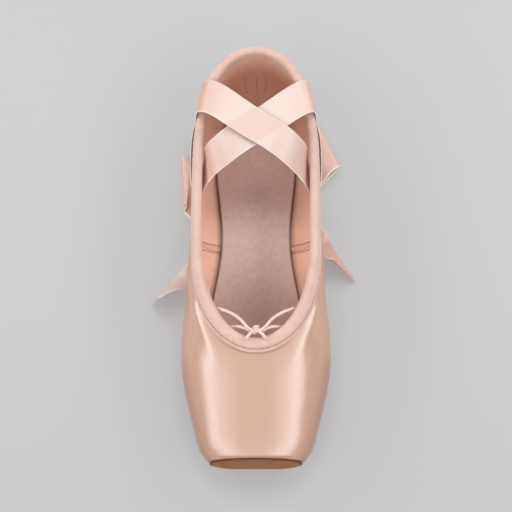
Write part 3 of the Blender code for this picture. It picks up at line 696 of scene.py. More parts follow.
def folded(points, side):
    """Height of all folds of one side at points of the skin: for each, height * e^(-(u/long)^2) times
    (1 - (v/wide)^2) * e^(-(v/wide)^2), with u and v the distances along and across the fold."""
    height = np.zeros(points.shape[:-1])
    for of_side, along, girth, long, wide, turn, high in FOLDS:
        if of_side == -side:
            continue
        station = share_at(along)
        middle = last(station, girth)
        forward, over = [unit(slope) for slope in slopes(station, np.array(girth))]
        turned = math.cos(math.radians(turn)) * forward + math.sin(math.radians(turn)) * over
        aside = unit(np.cross(outward(station, girth), turned))
        u = ((points - middle) @ turned) / (long * MM)
        v = ((points - middle) @ aside) / (wide * MM)
        height += high * MM * bell(u) * (1 - 0.5 * v**2) * bell(v)
    return height


def seam_distance(points):
    """Distance behind the side seam, a line that leans back as it rises."""
    rise = (points[..., 2] - INSTEP_HEIGHT / 2) / INSTEP_HEIGHT
    return points[..., 1] - (TOE_END + (SEAM_AT + SEAM_LEAN * rise) * (HEEL_END - TOE_END))


# %% The satin's grid
def upper_stations():
    """Stations from toe to heel, close together at the platform's rim, the sole's tip, the throat and the seam."""
    seam_y = TOE_END + SEAM_AT * (HEEL_END - TOE_END)
    rim, opening, tread, throat, side, before, behind, quarter = station_at(np.array([
        TOE_END + PLATFORM_RIM,
        TOE_END + OPENING_SETBACK,
        FLAT_TREAD[0],
        THROAT_Y,
        THROAT_Y + THROAT_DEPTH,
        seam_y - SEAM_ZONE,
        seam_y + SEAM_ZONE,
        FLAT_HEEL[0],
    ]))
    return np.concatenate([
        run(0.0, rim, 8, 2),
        run(rim, opening, 16),
        run(opening, tread, 24),
        run(tread, throat, 20),
        run(throat, side, 46, 2),
        run(side, before, 3),
        run(before, behind, 26),
        run(behind, quarter, 28),
        run(quarter, 1.0, 44),
        [1.0],
    ])


def opening_half(station):
    """Half width of the opening in the upper's bottom, which the sole closes."""
    size = sizes_at(station)
    front = rounded(size["y"] - TOE_END - OPENING_SETBACK, OPENING_END, 2)
    back = rounded(HEEL_END - OPENING_SETBACK - size["y"], OPENING_END, 2)
    return np.maximum(size["board"] - LASTING_MARGIN, 0.0) * front * back


WIDEST_COLUMN = 30  # of the grid, at girth 0; the cloth's map is measured from it
stations = upper_stations()[:, None]
bottom_half = sizes_at(stations)["board"]
edge = -2 + opening_half(stations) / np.maximum(bottom_half, 1e-9)
girths = np.concatenate([
    edge + (-1 - edge) * np.linspace(0, 1, 9)[:-1],
    -1 + np.linspace(0, 1, 23)[:-1] * np.ones_like(stations),
    collar_girth(stations) * np.linspace(0, 1, 43),
], axis=1)
skin = last(stations, girths)
out = outward(stations, girths)
out[:, girths[0] == -2] *= (0, 1, 1)
out[:, -1] *= np.where(sizes_at(stations)["ratio"] > 0, 1.0, (0.0, 1.0, 1.0))
out = unit(np.where(stations[..., None] >= 1, out * (0, 1, 1), out))

CAP_ROWS = np.array([1.0, 0.95, 0.8, 0.4])
on_side = smooth((girths + 1) / 0.25) * smooth((collar_girth(stations) - girths) / 0.05)
on_bottom = smooth((-0.85 - girths) / 0.1)
under_toe = smooth(1 - (skin[..., 1] - TOE_END - 4 * MM) / (26 * MM))
on_vamp = 1 - 0.6 * smooth((skin[..., 1] - THROAT_Y) / (12 * MM) + 1)
patches = []
for side in (1, -1):
    seam = seam_distance(skin)
    heel_seam = np.abs(skin[..., 0]) + 99 * (skin[..., 1] < 0)
    tread = chord_knots(skin[:, skin.shape[1] // 2])[:, None]
    height = folded(skin, side) * on_side
    height += (0.25 * bell((seam + 1.4 * MM) / (1.2 * MM)) - 0.35 * bell(seam / (0.5 * MM))) * MM * on_side
    height += (0.20 * bell((heel_seam - 1.2 * MM) / (1.2 * MM)) - 0.3 * bell(heel_seam / (0.5 * MM))) * MM * on_side
    height += PLEAT_HEIGHT * on_bottom * under_toe * np.sin(2 * math.pi * tread / PLEAT_PITCH + side) ** 3
    height *= np.minimum(1, 3 * np.linalg.norm(skin - skin[:1], axis=-1) / (4 * MM))
    grid = skin + out * height[..., None]
    grid[skin[..., 0] <= 0, 0] = 0.0
    middle = grid[0, [0, -1]].mean(axis=0) * (0, 1, 1)
    cap = middle + (grid[0] - middle) * (1 - CAP_ROWS[:, None, None])
    cap[..., 0] = np.maximum(cap[..., 0], 0)
    whole = np.concatenate([cap, grid]) * (side, 1, 1)
    # Painted shade: dark lines in the seams' grooves, and the lower sides darker, most on the vamp.
    crease = 0.8 * bell(seam / (0.45 * MM)) * on_side + 0.8 * bell(heel_seam / (0.45 * MM)) * on_side
    crease = np.maximum(crease, 0.52 * smooth((0.44 - girths) / 0.24) * on_vamp)
    crease = np.concatenate([np.zeros(cap.shape[:2]), crease])
    uv = lengths(whole)
    uv[..., 1] -= uv[:, WIDEST_COLUMN, None, 1]
    patches.append(patch(whole, uv, flip=side > 0, crease=crease))
satin_upper = make("satin_upper", patches, SHOE_SATIN, ["upper"], wall=0.5 * MM, offset=-1.0)

# %% [markdown]
# ## The lining
#
# Inside, a cotton lining is glued to the satin. At each side seam a narrow tape covers the join, a little
# proud of the rest, and at the heel a broad tape with a round top reinforces the back. The lining is the same
# function as the satin, moved inwards by its own depth, so the two can never cross.

# %% The lining
LINING_FROM = 6 * MM  # behind the flat of the toe
LINING_DEPTH = WALL
LINING_WALL = 0.85 * MM
TAPE_HALF = 2.2 * MM  # half the width of the tape over the side seam
TAPE_RISE = 0.4 * MM
HEEL_TAPE_HALF = 9.5 * MM
HEEL_TAPE_TOP = 25 * MM  # height of its round top


def lining_height(points):
    """How far the tapes stand proud of the lining: a flat-topped bar along the side seam, and the heel tape."""
    seam = np.abs(seam_distance(points)) - TAPE_HALF
    bar = smooth(0.5 - seam / (0.5 * MM))
    aside = np.hypot(points[..., 0], np.maximum(points[..., 2] - HEEL_TAPE_TOP + HEEL_TAPE_HALF, 0))
    tape = smooth(0.5 - (aside - HEEL_TAPE_HALF) / (0.6 * MM)) * (points[..., 1] > FLAT_HEEL[0])
    return TAPE_RISE * np.maximum(bar, tape)


lining_from = station_at(TOE_END + LINING_FROM)
lining_rows = np.concatenate([[lining_from], upper_stations()[upper_stations() > lining_from + 1e-3]])
wide_gap = np.diff(lining_rows) > np.median(np.diff(lining_rows))
between = ((lining_rows[1:] + lining_rows[:-1]) / 2)[wide_gap]
lining_rows = np.unique(np.concatenate([lining_rows, between]))[:, None]
lining_girths = np.concatenate([
    -1 + np.linspace(0, 1, 25)[:-1] * np.ones_like(lining_rows),
    collar_girth(lining_rows) * np.linspace(0, 1, 41),
], axis=1)
skin = last(lining_rows, lining_girths)
inward = -outward(lining_rows, lining_girths)
inward[-1, :, 0] = 0.0
depth = LINING_DEPTH + lining_height(skin) * smooth((collar_girth(lining_rows) - lining_girths) / 0.05)
inner = skin + unit(inward) * depth[..., None]
inner[..., 0] = np.maximum(inner[..., 0], 0.0)
# Painted shade along the edges of the seam tape, and a little more towards the heel.
crease = 0.5 * bell((np.abs(seam_distance(skin)) - TAPE_HALF) / (0.5 * MM))
crease = np.maximum(crease, 0.06 * smooth((skin[..., 1] - FLAT_HEEL[0]) / (HEEL_END - FLAT_HEEL[0])))
lining = make("lining", [
    patch(inner, flip=False, crease=crease),
    patch(inner * MIRROR, flip=True, crease=crease),
], LINING_COTTON, wall=LINING_WALL, offset=-1.0)

# %% [markdown]
# ## The casing
#
# A bias tape is folded over the raw collar edge and stitched down, which leaves a tunnel for the drawstring.
# The tunnel is a little puffed, the stitch row pulls the tape down, and the tape's edge lies thin beyond it.
# So the casing is one profile, closed on itself, carried along the collar.

# %% The collar's line
def collar_stations(front_count=90, side_count=70, heel_count=100):
    front, side, quarter = station_at(np.array([THROAT_Y, THROAT_Y + THROAT_DEPTH, FLAT_HEEL[0]]))
    return np.concatenate([run(front, side, front_count, 2), run(side, quarter, side_count),
                           run(quarter, 1.0, heel_count), [1.0]])


def collar_frame(stations):
    """The collar's edge on the skin, the skin's outward direction, and the way down the skin from the edge."""
    girth = collar_girth(stations)
    edge = last(stations, girth)
    out = outward(stations, girth)
    edge[[0, -1], 0] = out[[0, -1], 0] = 0.0
    out = unit(out)
    whole = np.concatenate([edge[1:2] * MIRROR, edge, edge[-2:-1] * MIRROR])
    down = unit(np.cross(whole[2:] - whole[:-2], out))
    return edge, out, down * np.where(down[:, 2:] > 0, -1, 1)


BINDING_WIDTH = 7.0 * MM
BINDING_GAP = 0.55 * MM
TAPE = 1.0 * MM
STITCH_REACH = 5.2 * MM  # from the collar's edge down to the stitch row
PUFF = 0.55 * MM
GATHER_PITCH = 2.9 * MM
GATHER_HEIGHT = 0.12 * MM

collar_edge, collar_out, collar_down = collar_frame(collar_stations())
collar_at = chord_knots(collar_edge)
print("collar, mm round:", round(2 * collar_at[-1] / MM))

# %% The casing's profile
OUTER = BINDING_GAP + TAPE
INNER = -WALL - OUTER


def casing_face(reach):
    """Height of the tape over what it covers: a puffed tunnel, a dip at the stitches, and a thin edge."""
    tunnel = PUFF * np.sin(math.pi * np.clip(reach / STITCH_REACH, 0, 1)) ** 0.8
    dip = 0.45 * MM * bell((reach - STITCH_REACH) / (0.45 * MM))
    thin = 0.55 * MM * smooth((reach - STITCH_REACH) / (BINDING_WIDTH - STITCH_REACH))
    return OUTER + tunnel - dip - thin


face_reach = np.concatenate([np.linspace(BINDING_WIDTH, STITCH_REACH, 8)[:-1], np.linspace(STITCH_REACH, 0.3 * MM, 14)])
over_angle = np.linspace(0, math.pi, 9)[1:-1]
over_middle, over_half = (OUTER + INNER) / 2, (OUTER - INNER) / 2
over_reach = -0.62 * over_half * np.sin(over_angle)
over_height = over_middle + over_half * np.cos(over_angle)
inner_reach = face_reach[::-1]
inner_height = -WALL - casing_face(inner_reach) + 0.3 * PUFF * np.sin(math.pi * inner_reach / BINDING_WIDTH)
under_reach = np.array([1.0, 0.6, 0.2]) * BINDING_WIDTH
profile_reach = np.concatenate([face_reach, over_reach, inner_reach, under_reach, [-0.2 * MM, -0.2 * MM],
                                under_reach[::-1]])
profile_height = np.concatenate([casing_face(face_reach), over_height, inner_height,
                                 np.full(3, -WALL - BINDING_GAP), [-WALL - BINDING_GAP, BINDING_GAP],
                                 np.full(3, BINDING_GAP)])
columns = []
for number, (reach, height) in enumerate(zip(profile_reach, profile_height)):
    points = collar_edge + collar_down * reach
    on_face = smooth(reach / STITCH_REACH * 3) * smooth((BINDING_WIDTH - reach) / (2 * MM) + 0.3)
    gather = np.sin(2 * math.pi * collar_at / GATHER_PITCH) + 0.6 * np.sin(2 * math.pi * collar_at / (1.7 * GATHER_PITCH))
    gather *= GATHER_HEIGHT * on_face * np.sign(height) * (number < 45)
    if reach > 0:
        points = laid_on(points, height + gather)
    else:
        points = points + collar_out * height
    points[[0, -1], 0] = 0.0
    columns.append(points)
columns.append(columns[0])
grid = np.stack(columns, axis=1)
shade = np.concatenate([0.30 * bell((face_reach - STITCH_REACH) / (0.4 * MM)), np.zeros(len(columns) - len(face_reach))])
casing = make("casing", [
    patch(grid, flip=True, crease=shade[None, :]),
    patch(grid * MIRROR, flip=False, crease=shade[None, :]),
], COTTON_TAPE, ["collar_binding"])

# %% [markdown]
# ## Stitches
#
# A lockstitch shows as short dashes with a needle hole between them. Hundreds of them are one mesh: a small
# ball of a few dozen faces is copied by numpy to every place at once, stretched along the seam, and all the
# copies go into the mesh in a single call.

# %% Stitch rows
def balls(centres, along, out, size, sides=8, rings=5):
    """Vertices and faces of many small ellipsoids: each has its own axes along, aside and out, and one size."""
    angle = np.linspace(0, 2 * math.pi, sides, endpoint=False)
    lift = np.linspace(-math.pi / 2, math.pi / 2, rings + 2)[1:-1]
    ball = np.stack(np.broadcast_arrays(
        np.sin(lift)[:, None], np.cos(lift)[:, None] * np.cos(angle), np.cos(lift)[:, None] * np.sin(angle),
    ), axis=-1).reshape(-1, 3)
    ball = np.concatenate([ball, [(-1.0, 0.0, 0.0), (1.0, 0.0, 0.0)]])
    aside = unit(np.cross(out, along))
    axes = np.stack([unit(along), aside, unit(np.cross(along, aside)) * -1], axis=1)
    points = centres[:, None] + np.einsum("vk,k,nkc->nvc", ball, np.asarray(size), axes)
    index = np.arange(rings * sides).reshape(rings, sides)
    turn = np.roll(index, -1, axis=1)
    around = np.stack([index[:-1], turn[:-1], turn[1:], index[1:]], axis=-1).reshape(-1, 4)
    start, end = np.full(sides, rings * sides), np.full(sides, rings * sides + 1)
    caps = np.concatenate([np.stack([turn[0], index[0], start], -1), np.stack([index[-1], turn[-1], end], -1)])
    step = np.arange(len(centres))[:, None, None] * len(ball)
    return points.reshape(-1, 3), (around + step).reshape(-1, 4), (caps + step).reshape(-1, 3)


def stitches(name, line, out, pitch, size, material, lift=0.0):
    """A row of stitches a pitch apart along a line of points, each laid on its own outward direction."""
    at = chord_knots(line)
    where = np.arange(pitch / 2, at[-1], pitch)
    pick = [np.stack([np.interp(where, at, values[:, i]) for i in range(3)], axis=-1) for values in (line, out)]
    ahead = np.stack([np.interp(where + pitch / 4, at, line[:, i]) for i in range(3)], axis=-1)
    points, fours, threes = balls(pick[0] + pick[1] * lift, ahead - pick[0] + 1e-9, pick[1], size)
    mesh = bpy.data.meshes.new(name)
    mesh.from_pydata(points.tolist(), [], fours.tolist() + threes.tolist())
    shape = bmesh.new()
    shape.from_mesh(mesh)
    bmesh.ops.recalc_face_normals(shape, faces=shape.faces)
    shape.to_mesh(mesh)
    shape.free()
    return dressed(name, mesh, material)


def both_sides(line):
    """A line from the middle round one side, and back to the middle round the other."""
    return np.concatenate([line[::-1] * MIRROR, line[1:]])


STITCH_PITCH = 1.6 * MM
stitch_place = laid_on(collar_edge + collar_down * STITCH_REACH, casing_face(STITCH_REACH))
stitch_line, stitch_out = both_sides(stitch_place), both_sides(collar_out)
# The needle holes are small dark balls on the tape: painted shade for the holes.
stitches("casing_needle_hole_shade", stitch_line, stitch_out, STITCH_PITCH, np.array([0.46, 0.40, 0.22]) * MM, HOLE_SHADE_AND_DARK_THREAD,
         lift=0.10 * MM)
line_at = chord_knots(stitch_line)
shifted = np.stack([np.interp(line_at + STITCH_PITCH / 2, line_at, stitch_line[:, i]) for i in range(3)], axis=-1)
stitches("casing_stitches", shifted, stitch_out, STITCH_PITCH, np.array([0.50, 0.26, 0.22]) * MM, THREAD_PINK,
         lift=0.10 * MM)

# %% Stitches of the lining
SEAM_ROWS = 1.5 * MM  # from the side seam to each stitch row of its tape
HEEL_ROWS = np.array([-6.0, 0.4, 5.6]) * MM  # the heel tape's three rows, across the shoe
HEEL_PITCH = 2.6 * MM
ZIGZAG_PITCH = 1.5 * MM


def on_lining(points, proud=TAPE_RISE):
    """Points moved on to the lining's inner face, and the direction that it faces there."""
    out = foot_on_skin(points)[1]
    return laid_on(points, -LINING_DEPTH - proud), -out


def seam_line(aside, count=60):
    """A line down the lining at a distance behind the side seam, from the casing to the sock."""
    z = np.linspace(INSTEP_HEIGHT * 0.62, INSTEP_HEIGHT * 0.16, count)
    x = BALL_WIDTH * (0.40 - 0.17 * np.linspace(0, 1, count) ** 2)
    y = TOE_END + (SEAM_AT + SEAM_LEAN * (z / INSTEP_HEIGHT - 0.5)) * (HEEL_END - TOE_END) + aside
    return np.stack([x, y, z], axis=-1)


for side_name, side in (("right", 1.0), ("left", -1.0)):
    rows_here = [seam_line(SEAM_ROWS), seam_line(-SEAM_ROWS)]
    zigzag_count = 56
    swing = np.where(np.arange(zigzag_count) % 2, 0.7, -0.7)[:, None] * SEAM_ROWS * (0.0, 1.0, 0.0)
    rows_here.append(seam_line(0.0, zigzag_count) + swing)
    for number, row_line in enumerate(rows_here):
        line, facing = on_lining(row_line * (side, 1, 1))
        pitch = STITCH_PITCH if number < 2 else ZIGZAG_PITCH / 2
        stitches(f"seam_stitches_{side_name}_{number}", line, facing, pitch, np.array([0.50, 0.26, 0.20]) * MM,
                 HOLE_SHADE_AND_DARK_THREAD if number < 2 else THREAD_PINK, lift=0.03 * MM)

for number, x in enumerate(HEEL_ROWS):
    z = np.linspace(HEEL_TAPE_TOP - 1.5 * MM, 9 * MM, 60)
    line, facing = on_lining(np.stack([np.full(60, x), np.full(60, HEEL_END - 6 * MM), z], axis=-1))
    stitches(f"heel_stitches_{number}", line, facing, HEEL_PITCH, np.array([0.60, 0.30, 0.20]) * MM, HOLE_SHADE_AND_DARK_THREAD,
             lift=0.03 * MM)

# %% [markdown]
# ## Sock, outsole and toe suede
#
# The insole's sock is a thin suede glued on a board, its edge just clear of the lining, with painted shadow along
# that edge for the dark line all round. The outsole is one piece of leather with a bevelled edge, that stops short
# of the toe. The oval on the platform covers the gathered end of the satin, and its cut edge is a bit ragged.

# %% Sock and outsole
SOCK_INSET = 0.75 * MM


def sole_outline(inset, front, back):
    """Half width and place of a sole that follows the upper's bottom edge, with a round tip and heel."""
    rows = upper_stations()
    rows = np.unique(np.concatenate([rows, (rows[1:] + rows[:-1]) / 2]))
    edge = last(rows, -1.0)
    edge = edge[edge[:, 1] > front + 0.2 * MM]
    y = np.concatenate([[front], np.minimum(edge[:, 1], back)])
    half = np.maximum(np.concatenate([[0.0], edge[:, 0] - inset]), 0.0)
    half = half * rounded(y - front, SOLE_TIP, 2) * rounded(back - y, inset + GAP, 2)
    return half, y


def sole_piece(name, half, y, lift, thickness, round_edge, material, node_name, paint, dish=0.0):
    """A plate on the sole's outline: top, rounded edge and underside are one profile from rim to rim."""
    share = np.sin(np.linspace(-1, 1, 49) * math.pi / 2)
    x = half[:, None] * share
    inside = half[:, None] - np.abs(x)
    fall = 1 - np.sqrt(1 - (1 - np.clip(inside / round_edge, 0, 1)) ** 2)
    base = ground(y)[:, None] + lift
    hollow = dish * (1 - share**2)
    top = np.stack(np.broadcast_arrays(x, y[:, None], base + thickness - round_edge * fall * 0.8 - hollow), axis=-1)
    under = np.stack(np.broadcast_arrays(x, y[:, None], base + round_edge * fall * 0.2), axis=-1)
    top[:, [0, -1], 2] = under[:, [0, -1], 2] = base + 0.2 * round_edge
    shade = paint(inside, y[:, None])
    faces = [patch(top, flip=True, crease=shade), patch(under, crease=shade)]
    return make(name, faces, material, [node_name])


heel_back = last(1.0, -1.0)[1]
sock_half, sock_y = sole_outline(SOCK_INSET, TOE_END + INSOLE_SETBACK, heel_back - WALL - GAP)
# The sock's edge is painted dark: painted shadow in the gap beside the lining.
sole_piece("sock", sock_half, sock_y, OUTSOLE_THICKNESS + WALL + 2 * GAP, INSOLE_THICKNESS, 0.5 * MM, SOCK_SUEDE,
           "insole", lambda inside, y: 0.95 * (1 - smooth(inside / (1.3 * MM))) + 0 * y, dish=0.3 * MM)
sole_half, sole_y = sole_outline(OUTSOLE_INSET, TOE_END + OUTSOLE_SETBACK, heel_back - OUTSOLE_INSET)
sole_piece("sole_leather", sole_half, sole_y, 0.0, OUTSOLE_THICKNESS, 0.9 * MM, SOLE_LEATHER, "outsole",
           lambda inside, y: 0.5 * bell((inside - 3 * MM) / (0.35 * MM)) + 0 * y)

# %% Toe suede
PATCH_RAG = 0.16 * MM
suede_girth = np.concatenate([np.linspace(-2, -1, 24)[:-1], np.linspace(-1, 0, 50)[:-1], np.linspace(0, 1, 90)])
rim = last(0.0, suede_girth)
middle = np.array([0.0, 0.0, (rim[0, 2] + rim[-1, 2]) / 2])
slant = (rim[0, 1] - rim[-1, 1]) / (rim[0, 2] - rim[-1, 2])
grow = 1 + 0.5 * PLATFORM_RIM / rim[:, 0].max()
rag = PATCH_RAG * (np.sin(37 * suede_girth) + np.sin(91 * suede_girth + 1) + np.sin(171 * suede_girth + 2)) / 2
# Across the patch: its back, its rounded edge, and its face, as shares of the outline and of the thickness.
suede_share = np.array([0.0, 0.5, 0.96, 1.0, 1.0, 0.975, 0.93, 0.85, 0.7, 0.5, 0.3, 0.1, 0.0])
suede_depth = np.array([0.0, 0.0, 0.0, 0.15, 0.6, 0.85, 0.95, 1.0, 1.0, 1.0, 1.0, 1.0, 1.0])
outline = (rim - middle) * (1, 0, 1)
spoke = unit(outline)
full = outline * grow + spoke * rag[:, None] * np.abs(np.sin(math.pi * (suede_girth + 2) / 3))[:, None]
suede = middle * (1, 0, 1) + full[None] * suede_share[:, None, None]
suede[..., 1] = rim[0, 1] + slant * (suede[..., 2] - rim[0, 2]) - 1.05 * GAP
suede[..., 1] -= PATCH_THICKNESS * suede_depth[:, None]
suede[:, [0, -1], 0] = 0.0
suede_shade = 0.8 * bell((suede_share - 1.0) / 0.03)[:, None]
make("toe_suede", [
    patch(suede, flip=True, crease=suede_shade),
    patch(suede * MIRROR, flip=False, crease=suede_shade),
], TOE_SUEDE, ["toe_patch"])

# %% [markdown]
# ## Ribbons
#
# Each ribbon is 19 mm of double-faced satin, sewn inside the quarter. It crosses the other one over the
# insole, goes over the collar and down the outside, and meets its twin under the waist. A ribbon bends freely
# along its length and hardly at all across it, so it is a smooth line with a straight crossing line at each
# point. The table has a row for each bend. The model's own solids use the same rows, with fewer steps.

# %% Ribbon bends
RIBBON_WIDTH = 19.0 * MM
RIBBON_THICKNESS = 0.6 * MM
RIBBON_CLOTH = 0.45 * MM
CROSSING_GAP = 2.7 * MM
CROSSING_ROW = 5
SELVEDGE = 0.5 * MM
RIBBON_STEPS = 14
RIBBON_COLUMNS = 25

# Across, along, height: middle of the ribbon, shares of the ball's width, the length and the heel's height.
# Wide x, y, z: the direction across it. Spread: share of its width, over 1 where a fold cuts across it.
RIBBON_ROWS = np.array([
    (0.368, 0.188, 0.534, 0.00, 1.00, 0.00, 1.00),
    (0.352, 0.193, 0.672, 0.00, 1.00, 0.00, 1.00),
    (0.317, 0.207, 0.810, 0.25, 0.97, 0.00, 1.00),
    (0.244, 0.225, 0.940, 0.40, 0.92, 0.00, 1.00),
    (0.161, 0.244, 1.012, 0.50, 0.86, 0.00, 1.00),
    (0.000, 0.281, 1.031, 0.54, 0.84, 0.00, 1.00),
    (-0.167, 0.322, 1.040, 0.50, 0.86, 0.00, 1.03),
    (-0.298, 0.355, 1.017, 0.35, 0.94, 0.00, 1.09),
    (-0.371, 0.367, 0.945, 0.20, 0.98, 0.00, 1.12),
    (-0.395, 0.358, 0.810, 0.15, 0.97, -0.20, 1.08),
    (-0.429, 0.325, 0.586, 0.10, 0.85, -0.50, 1.00),
    (-0.446, 0.275, 0.362, 0.10, 0.80, -0.60, 1.00),
    (-0.411, 0.215, 0.216, 0.30, 0.75, -0.50, 0.92),
    (-0.325, 0.166, 0.114, 0.55, 0.80, -0.40, 0.58),
    (-0.208, 0.130, 0.078, 0.50, 0.85, -0.18, 0.48),
    (-0.108, 0.118, 0.069, 0.00, 1.00, 0.00, 0.42),
])
LOOP_RIGHT_ROWS = np.array([
    (0.108, 0.117, 0.028, 0.00, -1.00, 0.00, 0.42),
    (0.208, 0.127, 0.028, 0.40, -0.90, 0.00, 0.70),
    (0.325, 0.188, 0.028, 0.80, -0.60, 0.00, 0.50),
    (0.400, 0.260, 0.017, 0.66, -0.75, 0.00, 1.05),
    (0.462, 0.320, 0.021, 0.49, -0.87, 0.00, 1.75),
    (0.510, 0.350, 0.065, 0.42, -0.91, 0.02, 2.10),
    (0.468, 0.322, 0.112, 0.49, -0.87, 0.04, 1.75),
    (0.400, 0.260, 0.088, 0.66, -0.75, 0.05, 1.05),
    (0.325, 0.188, 0.062, 0.80, -0.60, 0.03, 0.50),
    (0.208, 0.127, 0.049, 0.40, -0.90, 0.00, 0.70),
    (0.108, 0.117, 0.048, 0.00, -1.00, 0.00, 0.42),
])
LOOP_LEFT_ROWS = np.array([
    (-0.108, 0.117, 0.028, 0.00, -1.00, 0.00, 0.42),
    (-0.208, 0.127, 0.028, -0.40, -0.90, 0.00, 0.70),
    (-0.345, 0.158, 0.028, -0.60, -0.80, 0.00, 1.08),
    (-0.452, 0.202, 0.017, -0.35, -0.94, 0.00, 1.38),
    (-0.506, 0.233, 0.021, 0.05, -1.00, 0.00, 1.68),
    (-0.526, 0.242, 0.060, 0.06, -1.00, 0.00, 1.74),
    (-0.502, 0.231, 0.100, 0.05, -1.00, 0.03, 1.68),
    (-0.452, 0.202, 0.086, -0.35, -0.94, 0.06, 1.38),
    (-0.345, 0.158, 0.060, -0.60, -0.80, 0.05, 1.08),
    (-0.208, 0.127, 0.049, -0.40, -0.90, 0.00, 0.70),
    (-0.108, 0.117, 0.048, 0.00, -1.00, 0.00, 0.42),
])
TAIL_RIGHT_ROWS = np.array([
    (0.108, 0.099, 0.010, 0.00, 1.00, 0.00, 0.42),
    (0.232, 0.102, 0.010, 0.10, 1.00, 0.00, 0.70),
    (0.345, 0.094, 0.012, 0.45, 0.87, -0.01, 1.00),
    (0.435, 0.065, 0.083, 0.72, 0.55, -0.42, 1.00),
    (0.524, 0.023, 0.145, 0.59, 0.25, -0.77, 1.00),
    (0.612, -0.014, 0.167, 0.61, -0.40, -0.68, 1.25),
])
TAIL_LEFT_ROWS = np.array([
    (-0.108, 0.099, 0.010, 0.00, 1.00, 0.00, 0.42),
    (-0.232, 0.067, 0.010, -0.35, 0.90, 0.00, 0.70),
    (-0.369, 0.008, 0.038, -0.66, 0.64, -0.15, 1.00),
    (-0.464, -0.033, 0.093, -0.63, 0.61, -0.45, 1.00),
    (-0.577, -0.060, 0.159, -0.36, 0.34, -0.87, 1.00),
    (-0.692, -0.092, 0.172, -0.30, 0.10, -0.93, 1.00),
])


# %% Ribbon cloth
def ribbon_grid(rows, steps=RIBBON_STEPS, columns=RIBBON_COLUMNS):
    """Points over a ribbon: centre(t) + s * width(t) / 2 * direction(t), for s from -1 to 1, with centre,
    direction and width each a spline through the rows. Also the distance travelled and the width's share."""
    centres = rows[:, :3] * (BALL_WIDTH, SHOE_LENGTH, HEEL_HEIGHT)
    knots = chord_knots(centres)
    where = np.interp(np.linspace(0, len(rows) - 1, (len(rows) - 1) * steps + 1), np.arange(len(rows)), knots)
    at = cubic(knots, np.concatenate([centres, unit(rows[:, 3:6]), rows[:, 6:]], axis=1))(where)
    half = unit(at[:, 3:6]) * at[:, 6:] * RIBBON_WIDTH / 2
    return at[:, None, :3] + half[:, None] * np.linspace(-1, 1, columns)[:, None], at[:, 6]


def gathered(points, spread, folds=3.0, height=0.5 * MM):
    """Lengthwise pleats where the ribbon is squeezed: a cosine across it, taller the narrower it is."""
    squeeze = np.clip(1 - spread, 0, 0.6)[:, None] / 0.6
    share = np.linspace(-1, 1, points.shape[1])
    out = unit(np.cross(np.gradient(points, axis=0), np.gradient(points, axis=1)))
    return points + out * (height * squeeze * np.cos(folds * math.pi * share))[..., None]


def ribbon(name, points, replaces, doubled=0.0):
    """A ribbon, with a highlight painted along its woven edges, and painted shade where it is pinker."""
    share = np.linspace(-1, 1, points.shape[1])
    # A highlight painted along the woven edges.
    edge = smooth((np.abs(share) - 1 + 2 * SELVEDGE / RIBBON_WIDTH) * RIBBON_WIDTH / SELVEDGE + 0.5)
    middle = points[:, points.shape[1] // 2]
    at = chord_knots(middle)
    uv = np.stack(np.broadcast_arrays(at[:, None], (share * RIBBON_WIDTH / 2)[None, :]), axis=-1)
    piece = make(name, [patch(points, uv, edge=edge[None, :], doubled=doubled)], RIBBON_SATIN, [replaces],
                 wall=RIBBON_CLOTH, offset=0.0)
    print(name, round(at[-1] / MM), "mm long")
    return piece


# %% Crossed ribbons
clear = RIBBON_THICKNESS / 2 + 2 * GAP
over, spread = ribbon_grid(RIBBON_ROWS)
under = over * MIRROR
row = np.arange(len(over)) / RIBBON_STEPS
under[..., 2] -= (CROSSING_GAP * smooth(2 - 2 * np.abs(row - CROSSING_ROW) / 3))[:, None]
# Name, points, the node it stands for, and how much painted shade makes it pinker inside the shoe and over the collar.
crossed = (
    ("ribbon_above", over, "ribbon_over", 0.55, 1.0),
    ("ribbon_below", under, "ribbon_under", 0.75, 0.5),
)
for name, points, replaces, inside_shoe, over_collar in crossed:
    outside = row >= CROSSING_ROW + 3
    beside = outside & (row <= CROSSING_ROW + 4)
    points[outside] = kept_over(points[outside], clear)
    points[beside] = kept_over(points[beside], OUTER + clear)
    points = gathered(points, spread)
    # Painted shade: pinker over the collar and inside the shoe.
    doubled = np.maximum(over_collar * bell((row - CROSSING_ROW - 3.1) / 1.1), inside_shoe * smooth((3.8 - row) / 1.2))
    doubled = doubled[:, None]
    if replaces == "ribbon_over":
        # Painted shade where the other ribbon lies beneath: the same square on the plan.
        way = unit((under[CROSSING_ROW * RIBBON_STEPS + 4] - under[CROSSING_ROW * RIBBON_STEPS - 4])[12] * (1, 1, 0))
        aside = np.abs(np.cross(points - under[CROSSING_ROW * RIBBON_STEPS, 12], way)[..., 2])
        crossing_shade = smooth(0.5 + (RIBBON_WIDTH * 0.49 - aside) / (1.0 * MM)) * (row < CROSSING_ROW + 3)[:, None]
        doubled = np.maximum(doubled, 0.45 * crossing_shade)
    ribbon(name, points, replaces, doubled)

# %% [markdown]
# ## The bow
#
# Under the waist the two ribbons are tied in a flat bow: two loops that lie folded on the floor, two tails, and
# a knot that squeezes them. Nothing holds the loops up, so each is two layers of ribbon with a round fold.

